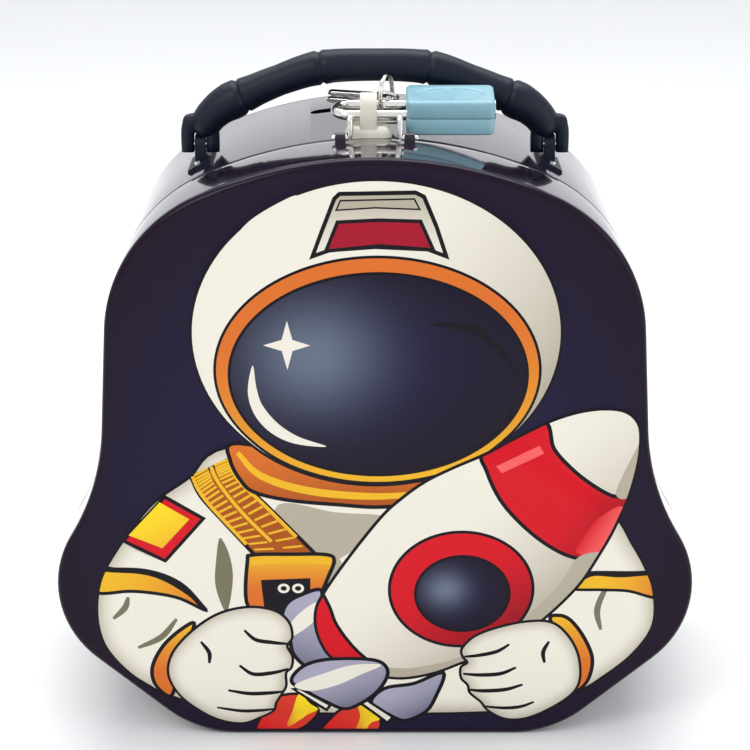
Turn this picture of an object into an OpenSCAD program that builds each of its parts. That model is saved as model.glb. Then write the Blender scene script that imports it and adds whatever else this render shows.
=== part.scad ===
// Tin money box in the shape of a round-shouldered bag: a deep back shell, a shallow embossed
// front shell hinged along the bottom, a folding plastic handle, and a wire bail held over a
// staple by a small padlock. Millimetres. Origin at the middle of the flat base, +Z up, the
// embossed face towards -Y.

/* [Body] */
// Widest width of the box, across the belly
body_w = 160; // [130:1:200]
// Height from the flat base to the top of the dome
body_h = 151; // [140:1:185]
// Depth from the front face to the back face
body_d = 82; // [70:1:110]
// Width across the top of the straight sides, where the shoulders end
shoulder_w = 131.5; // [122:0.5:136]
// Radius of the domed top
dome_r = 104; // [90:1:140]
// Radius of each shoulder
shoulder_r = 39; // [28:1:44]
// Radius of the hollow flare below the straight sides
flare_r = 61; // [40:1:90]
// Radius of the belly
belly_r = 26; // [16:1:34]
// Radius where each under-slope meets the flat base
corner_r = 28; // [8:1:34]
// Height of the belly's widest point
belly_z = 41; // [35:1:50]
// Outward lean of the sides in degrees
side_lean = 3.5; // [1:0.5:6]
// Rise of the under-slopes in degrees
under_slope = 40; // [32:1:50]

/* [Tin] */
// Thickness of the pressed tin
tin = 0.6; // [0.4:0.1:0.9]
// Depth of the front shell
front_d = 23; // [16:1:32]
// Width of the hem that holds each face to its band
hem = 2.4; // [1.8:0.1:4]
// How far the inner lip reaches into the front shell
lip_reach = 6; // [4:0.5:7]
// Gap between the inner lip and the front band
lip_gap = 0.35; // [0.3:0.05:0.5]
// Gap between the two shells at the seam
seam_gap = 0.3; // [0.2:0.05:0.5]
// Height of the embossed figure above the face
emboss = 2.4; // [1:0.1:3]
// Length of the coin slot
slot_l = 34; // [28:1:44]
// Width of the coin slot
slot_w = 5; // [4.6:0.1:7]
// Distance of the coin slot behind the middle of the box
slot_y = 20; // [14:1:24]

/* [Hinge] */
// Diameter of the hinge wire
hinge_wire = 1.2; // [0.8:0.1:1.6]
// Length of the hinge
hinge_l = 36; // [24:1:50]
// Thickness of the rolled knuckles
knuckle_wall = 0.65; // [0.5:0.05:0.9]

/* [Handle] */
// Distance between the two pivots
handle_span = 88.6; // [78:0.2:92]
// Height of the grip's centre line above the pivots
handle_rise = 20.5; // [19:0.5:30]
// Thickness of the grip
grip_d = 8; // [6:0.2:9]
// Diameter of the pivot pins
handle_pin = 1.8; // [1.4:0.1:2]
// Height of the pivots above the dome
pivot_lift = 4.7; // [4.4:0.1:6]
// Thickness of each bracket's ear
ear_t = 2.6; // [2:0.1:3]

/* [Clasp] */
// Thickness of the bail wire
bail_wire = 1.5; // [1.2:0.1:1.8]
// Distance between the bail's two arms
bail_w = 12.2; // [11.8:0.1:14]
// Width of the staple strap
strap_w = 4.2; // [3:0.1:4.6]
// Height of the staple above the dome
staple_h = 10.7; // [9.6:0.1:14]
// Clear gap through the staple
staple_gap = 4.2; // [4:0.1:6]

/* [Padlock] */
// Length of the padlock body, along the shackle
lock_l = 21.8; // [18:0.2:26]
// Width of the padlock body
lock_w = 12.6; // [11:0.1:12.8]
// Thickness of the padlock body
lock_t = 8.8; // [7:0.1:9]
// Diameter of the shackle
shackle_d = 2.6; // [2:0.1:2.8]
// Distance between the shackle legs
shackle_w = 6.9; // [6.6:0.1:7.4]
// Travel of the shackle when it springs open
shackle_travel = 4; // [2:0.5:5]
// Mean radius of the key ring
ring_r = 4.8; // [4.4:0.1:5.2]
// Thickness of the key ring wire
ring_wire = 0.65; // [0.5:0.05:0.8]

/* [Hidden] */
$fn = 48;

// Colours
NIGHT = [0.09, 0.05, 0.14];
NAVY = [0.08, 0.10, 0.17];
NICKEL = [0.78, 0.76, 0.70];
CREAM = [0.88, 0.86, 0.78];
AQUA = [0.58, 0.78, 0.82];

// Places along the depth
y_front = -body_d / 2;
y_back = body_d / 2;
y_seam = y_front + front_d;
run_gap = 0.3;
pin_gap = 0.05;

// ---- Outline: one smooth closed curve of tangent arcs and straight sides ----
lean_n = [cos(side_lean), sin(side_lean)];
lean_u = [sin(side_lean), -cos(side_lean)];
slope_n = [sin(under_slope), -cos(under_slope)];
dome_c = [0, body_h - dome_r];
dome_a = asin((shoulder_w / 2 - shoulder_r * cos(side_lean)) / (dome_r - shoulder_r));
shoulder_c = dome_c + (dome_r - shoulder_r) * [sin(dome_a), cos(dome_a)];
belly_c = [body_w / 2 - belly_r, belly_z];
// The flare's centre lies flare_r outside the side line and touches the belly from outside
flare_base = shoulder_c + (shoulder_r + flare_r) * lean_n;
flare_k = (flare_base - belly_c) * lean_u;
flare_q = (flare_base - belly_c) * (flare_base - belly_c) - pow(flare_r + belly_r, 2);
flare_c = flare_base + (-flare_k - sqrt(flare_k * flare_k - flare_q)) * lean_u;
flare_to_belly = (belly_c - flare_c) / norm(belly_c - flare_c);
belly_end = belly_c + belly_r * slope_n;
corner_c = [belly_end[0] - (corner_r + (corner_r - belly_end[1]) * slope_n[1]) / slope_n[0], corner_r];

function arc(c, r, a0, a1, n) = [for (i = [0:n]) let (a = a0 + (a1 - a0) * i / n) c + r * [cos(a), sin(a)]];
flare_a0 = 180 + side_lean;
flare_a1 = 360 + atan2(flare_to_belly[1], flare_to_belly[0]);
belly_a0 = flare_a1 - 180;
// Right half from the top of the dome down to the base, moved inwards by t
function half_outline(t) = concat(
    arc(dome_c, dome_r - t, 90, 90 - dome_a, 12),
    arc(shoulder_c, shoulder_r - t, 90 - dome_a, side_lean, 16),
    arc(flare_c, flare_r + t, flare_a0, flare_a1, 12),
    arc(belly_c, belly_r - t, belly_a0, under_slope - 90, 16),
    arc(corner_c, corner_r - t, under_slope - 90, -90, 6));
function mirrored(pts) = [for (i = [len(pts) - 1:-1:1]) [-pts[i][0], pts[i][1]]];
function outline(t) = concat(half_outline(t), mirrored(half_outline(t)));
function dome_z(x) = dome_c[1] + sqrt(dome_r * dome_r - x * x);

// Solid slab of the outline, moved inwards by t, from y0 to y1
module slab(y0, y1, t) {
    translate([0, y1, 0]) rotate([90, 0, 0]) linear_extrude(y1 - y0) polygon(outline(t));
}

// Wall that follows the outline between the insets t0 and t1, from y0 to y1
module wall(y0, y1, t0, t1) {
    difference() {
        slab(y0, y1, t0);
        slab(y0 - 1, y1 + 1, t1);
    }
}

module box(x, y, z) {
    translate([x[0], y[0], z[0]]) cube([x[1] - x[0], y[1] - y[0], z[1] - z[0]]);
}

// Round bar along X
module bar_x(r, x0, x1, y, z) {
    translate([x0, y, z]) rotate([0, 90, 0]) cylinder(r = r, h = x1 - x0);
}

// Round bar from a to b
module rod(a, b, r) {
    d = b - a;
    translate(a) rotate([0, atan2(norm([d[0], d[1]]), d[2]), atan2(d[1], d[0])])
        cylinder(r = r, h = norm(d));
}

// Bent wire: a bar for each stretch with a ball at each bend
module wire(pts, r) {
    for (i = [0:len(pts) - 2]) rod(pts[i], pts[i + 1], r);
    for (i = [1:len(pts) - 2]) translate(pts[i]) sphere(r = r + 0.04, $fn = 32);
}

// ---- Hinge along the bottom of the seam ----
knuckle_r = hinge_wire / 2 + pin_gap + knuckle_wall;
hinge_z = knuckle_r;
// The edges stand back this far, so that the front shell turns a full quarter
edge_back = knuckle_r + 0.15;
notch_half = corner_c[0] + sqrt(2 * corner_r * (hinge_z + run_gap)) + 1;
knuckle_n = 5;
knuckle_l = (hinge_l + run_gap) / knuckle_n - run_gap;
leaf_l = 9;
module hinge_notch() {
    box([-notch_half, notch_half], [y_seam - edge_back, y_seam + edge_back], [-1, hinge_z + run_gap]);
    box([-hinge_l / 2 - run_gap, hinge_l / 2 + run_gap], [y_seam - knuckle_r - run_gap - 0.2,
        y_seam + knuckle_r + run_gap + 0.2], [-1, 2 * knuckle_r + run_gap]);
}

// Knuckles first, first + 2, ... on a leaf that lies on the inside of the bottom, towards side
module hinge_leaf(first, side) {
    for (i = [first:2:knuckle_n - 1]) {
        x0 = -hinge_l / 2 + i * (knuckle_l + run_gap);
        difference() {
            union() {
                bar_x(knuckle_r, x0, x0 + knuckle_l, y_seam, hinge_z);
                box([x0, x0 + knuckle_l], side > 0 ? [y_seam, y_seam + knuckle_r + 1] : [y_seam - knuckle_r - 1, y_seam],
                    [tin, 2 * tin]);
            }
            bar_x(hinge_wire / 2 + (first == 0 ? 0 : pin_gap), x0 - 1, x0 + knuckle_l + 1, y_seam, hinge_z);
        }
    }
    near = knuckle_r + run_gap + 0.2;
    box([-hinge_l / 2, hinge_l / 2], side > 0 ? [y_seam + near, y_seam + near + leaf_l] : [y_seam - near - leaf_l, y_seam - near],
        [tin, 2 * tin]);
}

module hinge_leaf_back() { color(NIGHT) hinge_leaf(0, 1); }
module hinge_leaf_front() { color(NIGHT) hinge_leaf(1, -1); }
module hinge_pin() { color(NICKEL) bar_x(hinge_wire / 2, -hinge_l / 2, hinge_l / 2, y_seam, hinge_z); }

// ---- Shells ----
module coin_slot() {
    box([-slot_l / 2, slot_l / 2], [slot_y - slot_w / 2, slot_y + slot_w / 2], [body_h - 12, body_h + 5]);
}

module back_band() {
    color(NIGHT) difference() {
        union() {
            wall(y_seam + seam_gap / 2, y_back - hem, 0, tin);
            wall(y_back - hem - 2 * tin, y_back - tin, tin, 2 * tin);
        }
        coin_slot();
        hinge_notch();
        staple_rivet_shanks(0);
        bracket_rivet_shanks(0);
    }
}

module back_panel() {
    color(NIGHT) {
        wall(y_back - hem, y_back, 0, tin);
        slab(y_back - tin, y_back, tin);
    }
}

// Strip fixed inside the back band that the front shell closes over
module inner_lip() {
    color(NIGHT) difference() {
        union() {
            wall(y_seam + seam_gap / 2, y_seam + lip_reach, tin, 2 * tin);
            wall(y_seam, y_seam + 2 * tin, tin + lip_gap, 2 * tin + lip_gap);
            wall(y_seam - lip_reach, y_seam + tin, tin + lip_gap, 2 * tin + lip_gap);
        }
        box([-hinge_l / 2 - 1, hinge_l / 2 + 1], [y_seam - lip_reach - 1, y_seam + lip_reach + 1], [-1, 4 * tin + 2]);
        box([-notch_half, notch_half], [y_seam - 0.1, y_seam + edge_back], [-1, tin]);
        box([staple_x - base_w / 2 - 1, staple_x + base_w / 2 + 1], [y_seam - 0.2, y_seam + lip_reach + 1],
            [body_h - 8, body_h + 1]);
    }
}

module front_band() {
    color(NIGHT) difference() {
        union() {
            wall(y_front + hem, y_seam - seam_gap / 2, 0, tin);
            wall(y_front + tin, y_front + hem + 2 * tin, tin, 2 * tin);
        }
        hinge_notch();
    }
}

// ---- Embossed face: stepped islands of a helmeted figure that holds a rocket ----
face_k = body_w / 160;
function oval(c, a, b, n = 60) = [for (i = [0:n - 1]) c + [a * cos(360 * i / n), b * sin(360 * i / n)]];
module raise(h0, h1) {
    translate([0, y_front - h0, 0]) rotate([90, 0, 0]) linear_extrude(h1 - h0) scale(face_k) children();
}
// Space behind a raised area of height h, which keeps the tin's thickness over it
module behind(h) {
    translate([0, y_front + tin + 0.1, 0]) rotate([90, 0, 0])
        linear_extrude(h + 0.1) scale(face_k) offset(delta = -1.2 * tin) children();
}
helmet_c = [0, 107];
visor_c = [0, 98];
rocket_c = [26, 52];
rocket_turn = -37;
module face_area(t) {
    polygon([for (p = outline(t)) p / face_k]);
}
module figure_area() {
    intersection() {
        union() {
            polygon(oval(helmet_c, 45, 38));
            polygon([[-59, 15], [-68, 24], [-70, 37], [-65, 51], [-54, 65], [-34, 76], [34, 76], [54, 65],
                [67, 47], [70, 32], [58, 16], [44, 7], [-44, 7]]);
        }
        face_area(5 * tin);
    }
}
module rocket_area() {
    intersection() {
        translate(rocket_c) rotate(rocket_turn)
            polygon([[-19, -32], [-25, -12], [-25, 8], [-20, 26], [-11, 40], [0, 47], [11, 40], [20, 26],
                [25, 8], [25, -12], [19, -32]]);
        figure_area();
    }
}
module visor_area() { polygon(oval(visor_c, 36, 25.6)); }
module front_panel() {
    color(CREAM) difference() {
        union() {
            wall(y_front, y_front + hem, 0, tin);
            slab(y_front, y_front + tin, tin);
            raise(0, emboss * 0.5) figure_area();
            raise(emboss * 0.5, emboss * 0.8) visor_area();
            raise(emboss * 0.5, emboss) rocket_area();
        }
        behind(emboss * 0.5) figure_area();
        behind(emboss * 0.8) visor_area();
        behind(emboss) rocket_area();
    }
}

// ---- Staple: a pressed foot with a strap bent over from front to back ----
staple_x = -1.6;
base_w = 11.6;
base_t = 1.6;
strap_t = 0.8;
staple_y0 = y_seam + seam_gap / 2 + 0.8;
staple_y1 = staple_y0 + staple_gap + 2 * strap_t;
staple_top = body_h + staple_h;
rivet_r = 0.8;
// Rivets stand square to the dome at the middle of each
module on_dome(x, y) {
    a = asin(x / dome_r);
    translate([dome_r * sin(a), y, dome_c[1] + dome_r * cos(a)]) rotate([0, a, 0]) children();
}
module staple_rivet_shanks(grow) {
    for (x = [-1, 1]) on_dome(staple_x + x * 4.2, (staple_y0 + staple_y1) / 2)
        translate([0, 0, -3]) cylinder(r = rivet_r + grow, h = 3.2 + base_t);
}
module staple() {
    color(CREAM) difference() {
        union() {
            difference() {
                box([staple_x - base_w / 2, staple_x + base_w / 2], [staple_y0 - 0.5, staple_y1 + 0.5],
                    [body_h - 4, body_h + base_t]);
                slab(staple_y0 - 2, staple_y1 + 2, 0);
            }
            box([staple_x - strap_w / 2, staple_x + strap_w / 2], [staple_y0, staple_y1],
                [body_h + base_t - 0.2, staple_top - staple_gap / 2 - strap_t]);
            bar_x(staple_gap / 2 + strap_t, staple_x - strap_w / 2, staple_x + strap_w / 2,
                (staple_y0 + staple_y1) / 2, staple_top - staple_gap / 2 - strap_t);
        }
        box([staple_x - strap_w, staple_x + strap_w], [staple_y0 + strap_t, staple_y1 - strap_t],
            [body_h + base_t, staple_top - staple_gap / 2 - strap_t]);
        bar_x(staple_gap / 2, staple_x - strap_w, staple_x + strap_w, (staple_y0 + staple_y1) / 2,
            staple_top - staple_gap / 2 - strap_t);
        staple_rivet_shanks(0);
    }
}
module staple_rivets() {
    color(NICKEL) difference() {
        staple_rivet_shanks(0);
        slab(y_seam - 5, y_back, tin + 0.9);
    }
}

// ---- Handle brackets, pins and grip ----
pivot_x = handle_span / 2;
pivot_z = dome_z(pivot_x) + pivot_lift;
pivot_y = 0;
foot_t = 0.8;
foot_l = 15;
foot_w = 5.6;
ear_r = 2.5;
module bracket_rivet_shanks(grow) {
    for (x = [-1, 1], y = [-1, 1]) on_dome(x * pivot_x, pivot_y + y * (foot_l / 2 - 1.9))
        translate([0, 0, -2]) cylinder(r = rivet_r + grow, h = 2 + foot_t + 0.6);
}
module bracket(side) {
    difference() {
        union() {
            intersection() {
                wall(pivot_y - foot_l / 2, pivot_y + foot_l / 2, -foot_t, 0);
                box([side * pivot_x - foot_w / 2, side * pivot_x + foot_w / 2], [pivot_y - foot_l / 2 - 1,
                    pivot_y + foot_l / 2 + 1], [body_h / 2, body_h + 5]);
            }
            difference() {
                union() {
                    bar_x(ear_r, side * pivot_x - ear_t / 2, side * pivot_x + ear_t / 2, pivot_y, pivot_z);
                    box([side * pivot_x - ear_t / 2, side * pivot_x + ear_t / 2], [pivot_y - ear_r, pivot_y + ear_r],
                        [pivot_z - pivot_lift - 2, pivot_z]);
                }
                slab(pivot_y - ear_r - 1, pivot_y + ear_r + 1, 0);
            }
        }
        bar_x(handle_pin / 2, side * pivot_x - ear_t, side * pivot_x + ear_t, pivot_y, pivot_z);
        bracket_rivet_shanks(0);
        // Room for the fork's two prongs
        for (s = [-1, 1]) bar_x(prong_r + run_gap, side * pivot_x + s * (ear_t / 2) - (s < 0 ? 4 : 0),
            side * pivot_x + s * (ear_t / 2) + (s < 0 ? 0 : 4), pivot_y, pivot_z);
    }
}
module bracket_left() { color(NAVY) bracket(-1); }
module bracket_right() { color(NAVY) bracket(1); }
module bracket_rivets() {
    color(NICKEL) difference() {
        bracket_rivet_shanks(0);
        slab(pivot_y - foot_l, pivot_y + foot_l, tin + 0.6);
    }
}
module handle_pins() {
    color(NICKEL) for (s = [-1, 1])
        bar_x(handle_pin / 2, s * pivot_x - fork_w / 2, s * pivot_x + fork_w / 2, pivot_y, pivot_z);
}

fork_w = 9.6;
prong_r = 2.3;
prong_rise = 4.6;
grip_r = grip_d / 2;
// Centre line of the grip, right half, from the middle to above the pivot
grip_line = [[0, handle_rise], [0.307 * pivot_x, handle_rise - 0.8], [0.754 * pivot_x, 0.615 * handle_rise],
             [0.93 * pivot_x, 0.40 * handle_rise]];
module handle_half(side) {
    pts = [for (p = grip_line) [side * p[0], pivot_y, pivot_z + p[1]]];
    neck = [side * (pivot_x - 0.4), pivot_y, pivot_z + prong_rise];
    for (i = [0:2]) rod(pts[i], pts[i + 1], grip_r - (i == 2 ? 0 : 0.25));
    for (i = [0:3]) translate(pts[i]) sphere(r = grip_r + (i < 2 ? 0 : 0.2), $fn = 32);
    difference() {
        union() {
            rod(pts[3], neck, grip_r);
            box([side * pivot_x - fork_w / 2, side * pivot_x + fork_w / 2], [pivot_y - prong_r, pivot_y + prong_r],
                [pivot_z, pivot_z + prong_rise + 1]);
            bar_x(prong_r, side * pivot_x - fork_w / 2, side * pivot_x + fork_w / 2, pivot_y, pivot_z);
        }
        // Slot for the ear, and the pin's bore
        box([side * pivot_x - ear_t / 2 - run_gap, side * pivot_x + ear_t / 2 + run_gap],
            [pivot_y - 6, pivot_y + 6], [pivot_z - 6, pivot_z + ear_r + run_gap]);
        bar_x(handle_pin / 2 + pin_gap, side * pivot_x - fork_w, side * pivot_x + fork_w, pivot_y, pivot_z);
    }
}
module handle_grip() { color(NAVY) for (side = [-1, 1]) handle_half(side); }

// ---- Wire bail on the front band ----
bail_r = bail_wire / 2;
bail_y = y_seam - 3.5;
bail_z = body_h + bail_r + 0.15;
bail_low = body_h + base_t + run_gap + bail_r;
bail_bar_y = staple_y1 + 0.5 + run_gap + bail_r;
hump_z = bail_low + 3.2;
eye_l = 2.6;
module bail_eyes() {
    color(NIGHT) for (s = [-1, 1]) {
        x0 = s * (bail_w / 2 + bail_r + run_gap + eye_l / 2) - eye_l / 2;
        difference() {
            union() {
                bar_x(bail_r + pin_gap + 0.5, x0, x0 + eye_l, bail_y, bail_z);
                box([x0, x0 + eye_l], [bail_y - 1.3, bail_y + 1.3], [body_h - 3, bail_z]);
            }
            slab(y_front, y_seam, 0);
            bar_x(bail_r + pin_gap, x0 - 1, x0 + eye_l + 1, bail_y, bail_z);
        }
    }
}
module wire_bail() {
    a = bail_w / 2;
    color(NICKEL) {
        wire([[-a - bail_r - run_gap - eye_l, bail_y, bail_z], [-a, bail_y, bail_z],
              [-a, bail_y + 0.8, hump_z], [-a, bail_y + 3.4, bail_low], [-a, bail_bar_y, bail_low],
              [a, bail_bar_y, bail_low], [a, bail_y + 3.4, bail_low], [a, bail_y + 0.8, hump_z],
              [a, bail_y, bail_z], [a + bail_r + run_gap + eye_l, bail_y, bail_z]], bail_r);
    }
}

// ---- Padlock: lies flat, its near leg through the staple ----
shackle_r = shackle_d / 2;
leg_y = (staple_y0 + staple_y1) / 2;
leg_z = bail_low + bail_r + 0.35 + shackle_r;
lock_tilt = 10;
lock_x0 = bail_w / 2 + bail_r + 0.85;
bend_x = staple_x - strap_w / 2 - 2.5;
case_in = 1.2;
plug_l = 8;
bore_gap = 0.1;
leg_in = 6;
heel_in = lock_l - plug_l - 1.5;
// Local frame of the padlock: X along the legs, Y from the near leg to the far leg, Z up
module lock_frame() {
    translate([0, leg_y, leg_z]) rotate([lock_tilt, 0, 0]) children();
}
module shackle() {
    color(NICKEL) lock_frame() difference() {
        union() {
            bar_x(shackle_r, bend_x, lock_x0 + leg_in, 0, 0);
            bar_x(shackle_r, bend_x, lock_x0 + heel_in, shackle_w, 0);
            translate([bend_x, shackle_w / 2, 0]) rotate([0, 0, 90]) rotate_extrude(angle = 180)
                translate([shackle_w / 2, 0]) circle(r = shackle_r);
        }
        // Notch for the latch, on the inside of the far leg
        box([lock_x0 + 4, lock_x0 + 5.6], [shackle_w - shackle_r - 1, shackle_w - shackle_r + 0.7], [-3, 3]);
    }
}
lock_mid = shackle_w / 2;
plug_r = 2.6;
module lock_case() {
    color(NICKEL) lock_frame() difference() {
        box([lock_x0 + 0.4, lock_x0 + lock_l - 0.4], [lock_mid - lock_w / 2 + case_in, lock_mid + lock_w / 2 - case_in],
            [-lock_t / 2 + case_in, lock_t / 2 - case_in]);
        bar_x(shackle_r + bore_gap, lock_x0 - 1, lock_x0 + leg_in + shackle_travel, 0, 0);
        bar_x(shackle_r + bore_gap, lock_x0 - 1, lock_x0 + heel_in + 1, shackle_w, 0);
        bar_x(plug_r + pin_gap, lock_x0 + lock_l - plug_l - 0.4, lock_x0 + lock_l + 1, lock_mid, 0);
        box([lock_x0 + 3.8, lock_x0 + 5.8], [1.9, shackle_w - shackle_r - bore_gap / 2], [-1.2, 1.2]);
    }
}
// One half of the coloured jacket round the case, up to the middle of its thickness
module cover(s) {
    difference() {
        box([lock_x0, lock_x0 + lock_l], [lock_mid - lock_w / 2, lock_mid + lock_w / 2],
            s > 0 ? [0, lock_t / 2] : [-lock_t / 2, 0]);
        box([lock_x0 + 0.4, lock_x0 + lock_l - 0.4], [lock_mid - lock_w / 2 + case_in, lock_mid + lock_w / 2 - case_in],
            [-lock_t / 2 + case_in, lock_t / 2 - case_in]);
        bar_x(shackle_r + bore_gap, lock_x0 - 1, lock_x0 + 2, 0, 0);
        bar_x(shackle_r + bore_gap, lock_x0 - 1, lock_x0 + 2, shackle_w, 0);
        bar_x(plug_r + 0.2, lock_x0 + lock_l - 2, lock_x0 + lock_l + 1, lock_mid, 0);
        // Sunken oval panel
        if (s > 0) translate([lock_x0 + lock_l / 2, lock_mid, lock_t / 2 - 0.3]) linear_extrude(1)
            polygon(oval([0, 0], lock_l * 0.32, lock_w * 0.3, 48));
    }
}
module cover_upper() { color(AQUA) lock_frame() cover(1); }
module cover_lower() { color(AQUA) lock_frame() cover(-1); }
module lock_plug() {
    color(NICKEL) lock_frame() difference() {
        bar_x(plug_r, lock_x0 + lock_l - plug_l, lock_x0 + lock_l + 0.3, lock_mid, 0);
        box([lock_x0 + lock_l - plug_l + 1, lock_x0 + lock_l + 1], [lock_mid - 0.35, lock_mid + 0.35], [-1.7, 1.7]);
    }
}
module latch_bolt() {
    color(NICKEL) lock_frame()
        box([lock_x0 + 4.1, lock_x0 + 5.5], [3.4, shackle_w - shackle_r - bore_gap], [-1.1, 1.1]);
}
module latch_spring() {
    color(NICKEL) lock_frame() translate([lock_x0 + 4.8, 2.0, 0]) rotate([-90, 0, 0])
        for (i = [0:2]) translate([0, 0, 0.25 + i * 0.45]) rotate_extrude() translate([0.6, 0]) circle(r = 0.2, $fn = 16);
}

// ---- Key ring on the far leg, with two keys ----
ring_turn = 18;
ring_x = staple_x + strap_w / 2 + 2.3;
ring_y = leg_y + shackle_w * cos(lock_tilt);
ring_leg_z = leg_z + shackle_w * sin(lock_tilt);
ring_z = ring_leg_z - shackle_r - ring_wire - 0.15 + ring_r;
module ring_frame() {
    translate([ring_x, ring_y, ring_z]) rotate([0, 0, -ring_turn]) children();
}
module key_ring() {
    color(NICKEL) ring_frame() rotate([0, 90, 0]) rotate_extrude() translate([ring_r, 0]) circle(r = ring_wire, $fn = 20);
}
key_t = 0.9;
key_head_r = 3.6;
key_hole_r = 1.3;
key_l = 17;
// The head's middle lies this far outside the ring
key_out = 1.2;
// Both keys lie at this slant, side by side
key_slant = -42;
// Flat key threaded on the ring at angle a, measured from the back of the ring
module key(a) {
    ring_frame() rotate([a, 0, 0]) translate([0, ring_r, 0]) rotate([key_slant - a, 0, 0])
        difference() {
            union() {
                translate([-key_head_r + 2.2, key_out, -key_t / 2]) cylinder(r = key_head_r, h = key_t);
                box([-key_l, -key_head_r], [-1.5, 1.3], [-key_t / 2, key_t / 2]);
            }
            translate([0, 0, -2]) cylinder(r = key_hole_r, h = 4);
            for (i = [0:3]) box([-key_l + 1.2 + i * 2.2, -key_l + 2.2 + i * 2.2], [0.5 - 0.2 * (i % 2), 2], [-1, 1]);
        }
}
module key_one() { color(NICKEL) key(-42); }
module key_two() { color(NICKEL) key(-20); }

back_band();
back_panel();
inner_lip();
hinge_leaf_back();
hinge_pin();
staple();
staple_rivets();
bracket_left();
bracket_right();
bracket_rivets();
handle_pins();
front_band();
front_panel();
hinge_leaf_front();
bail_eyes();
wire_bail();
handle_grip();
shackle();
lock_case();
cover_upper();
cover_lower();
lock_plug();
latch_bolt();
latch_spring();
key_ring();
key_one();
key_two();
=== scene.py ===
"""Tin money box in the shape of a round-shouldered bag, with a printed astronaut, a handle and a padlock.

The visible pieces are built round the fixed CAD frame. Sizes are in millimetres in the dataclasses and
become metres where a mesh is made. +X is to the right, +Z is up and the printed face looks along -Y.
"""

import logging
import math
from dataclasses import dataclass
from enum import Enum

import bpy
import numpy as np
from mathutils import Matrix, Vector
from mathutils.geometry import delaunay_2d_cdt


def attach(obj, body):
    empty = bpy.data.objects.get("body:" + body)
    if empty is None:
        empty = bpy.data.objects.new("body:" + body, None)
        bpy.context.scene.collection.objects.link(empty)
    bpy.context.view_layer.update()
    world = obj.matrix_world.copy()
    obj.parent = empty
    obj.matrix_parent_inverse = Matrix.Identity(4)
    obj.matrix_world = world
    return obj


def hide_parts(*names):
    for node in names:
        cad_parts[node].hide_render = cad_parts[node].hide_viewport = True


log = logging.getLogger("tin_box")
MM = 0.001
TAU = 2.0 * math.pi
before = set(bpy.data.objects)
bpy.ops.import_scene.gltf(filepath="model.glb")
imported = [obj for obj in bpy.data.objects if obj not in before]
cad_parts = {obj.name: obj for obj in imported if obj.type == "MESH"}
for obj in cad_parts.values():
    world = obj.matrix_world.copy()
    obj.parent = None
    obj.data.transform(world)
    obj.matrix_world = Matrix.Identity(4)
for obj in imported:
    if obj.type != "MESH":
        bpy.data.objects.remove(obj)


# ---------------------------------------------------------------------------------------------- colours
class Ink(Enum):
    """Printed colours of the tin, and the pale blue of the painted highlights, as sRGB from 0 to 1."""

    LINE = (0.055, 0.04, 0.075)
    PLUM = (0.085, 0.022, 0.105)
    NAVY = (0.085, 0.075, 0.215)
    CREAM = (0.865, 0.845, 0.79)
    SHADE = (0.66, 0.625, 0.555)
    FOLD = (0.44, 0.42, 0.34)
    ORANGE = (0.80, 0.41, 0.15)
    GOLD = (0.87, 0.67, 0.14)
    BROWN = (0.62, 0.30, 0.08)
    RED = (0.78, 0.06, 0.12)
    DARK_RED = (0.52, 0.03, 0.10)
    PALE_RED = (0.90, 0.36, 0.36)
    BADGE = (0.60, 0.055, 0.15)
    LILAC = (0.62, 0.61, 0.68)
    STEEL = (0.42, 0.42, 0.50)
    FLAME = (0.80, 0.22, 0.14)
    YELLOW = (0.92, 0.80, 0.12)
    VISOR = (0.085, 0.045, 0.11)
    # Pale blue of the painted highlights on the visor and on the porthole's ball
    PAINTED_HIGHLIGHT = (0.42, 0.46, 0.53)
    BLUE = (0.20, 0.22, 0.40)

    def linear(self) -> np.ndarray:
        """Returns: the colour as linear RGBA."""
        c = np.array(self.value)
        rgb = np.where(c <= 0.04045, c / 12.92, ((c + 0.055) / 1.055) ** 2.4)
        return np.append(rgb, 1.0)


# ---------------------------------------------------------------------------------------------- meshes
def new_piece(name: str, verts: np.ndarray, faces: list, body: str,
              material: bpy.types.Material, replaces: tuple = (), smooth: bool = True) -> bpy.types.Object:
    """Makes a mesh object from points in millimetres and ties it to the frame.

    Args:
        name: The piece's name.
        verts: Points, one a row.
        faces: Lists of point numbers.
        body: CAD body that it rides.
        material: Its finish.
        replaces: CAD nodes that it stands for.
        smooth: Whether the faces are shaded smooth.

    Returns:
        The object.
    """
    mesh = bpy.data.meshes.new(name)
    mesh.from_pydata((np.asarray(verts, float) * MM).tolist(), [], [list(map(int, f)) for f in faces])
    mesh.validate()
    mesh.polygons.foreach_set("use_smooth", np.full(len(mesh.polygons), smooth))
    mesh.materials.append(material)
    obj = bpy.data.objects.new(name, mesh)
    bpy.context.scene.collection.objects.link(obj)
    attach(obj, body)
    if replaces:
        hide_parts(*replaces)
    return obj


def sharpen(obj: bpy.types.Object, angle: float = 35.0) -> bpy.types.Object:
    """Marks the edges that bend by more than an angle as sharp.

    Args:
        obj: The piece.
        angle: Least bend, in degrees.

    Returns:
        The same piece.
    """
    obj.data.set_sharp_from_angle(angle=math.radians(angle))
    return obj


def grid_faces(nu: int, nv: int, wrap_u: bool = False, wrap_v: bool = True) -> np.ndarray:
    """Quads over a grid of nu rows by nv columns, each row joined to the next.

    Args:
        nu: Number of rows.
        nv: Number of columns.
        wrap_u: Whether the last row joins the first.
        wrap_v: Whether the last column joins the first.

    Returns:
        One quad a row.
    """
    i = np.arange(nu if wrap_u else nu - 1)[:, None]
    j = np.arange(nv if wrap_v else nv - 1)[None, :]
    a, b = i * nv + j, i * nv + (j + 1) % nv
    c, d = ((i + 1) % nu) * nv + (j + 1) % nv, ((i + 1) % nu) * nv + j
    return np.stack([a, b, c, d], -1).reshape(-1, 4)


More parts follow.
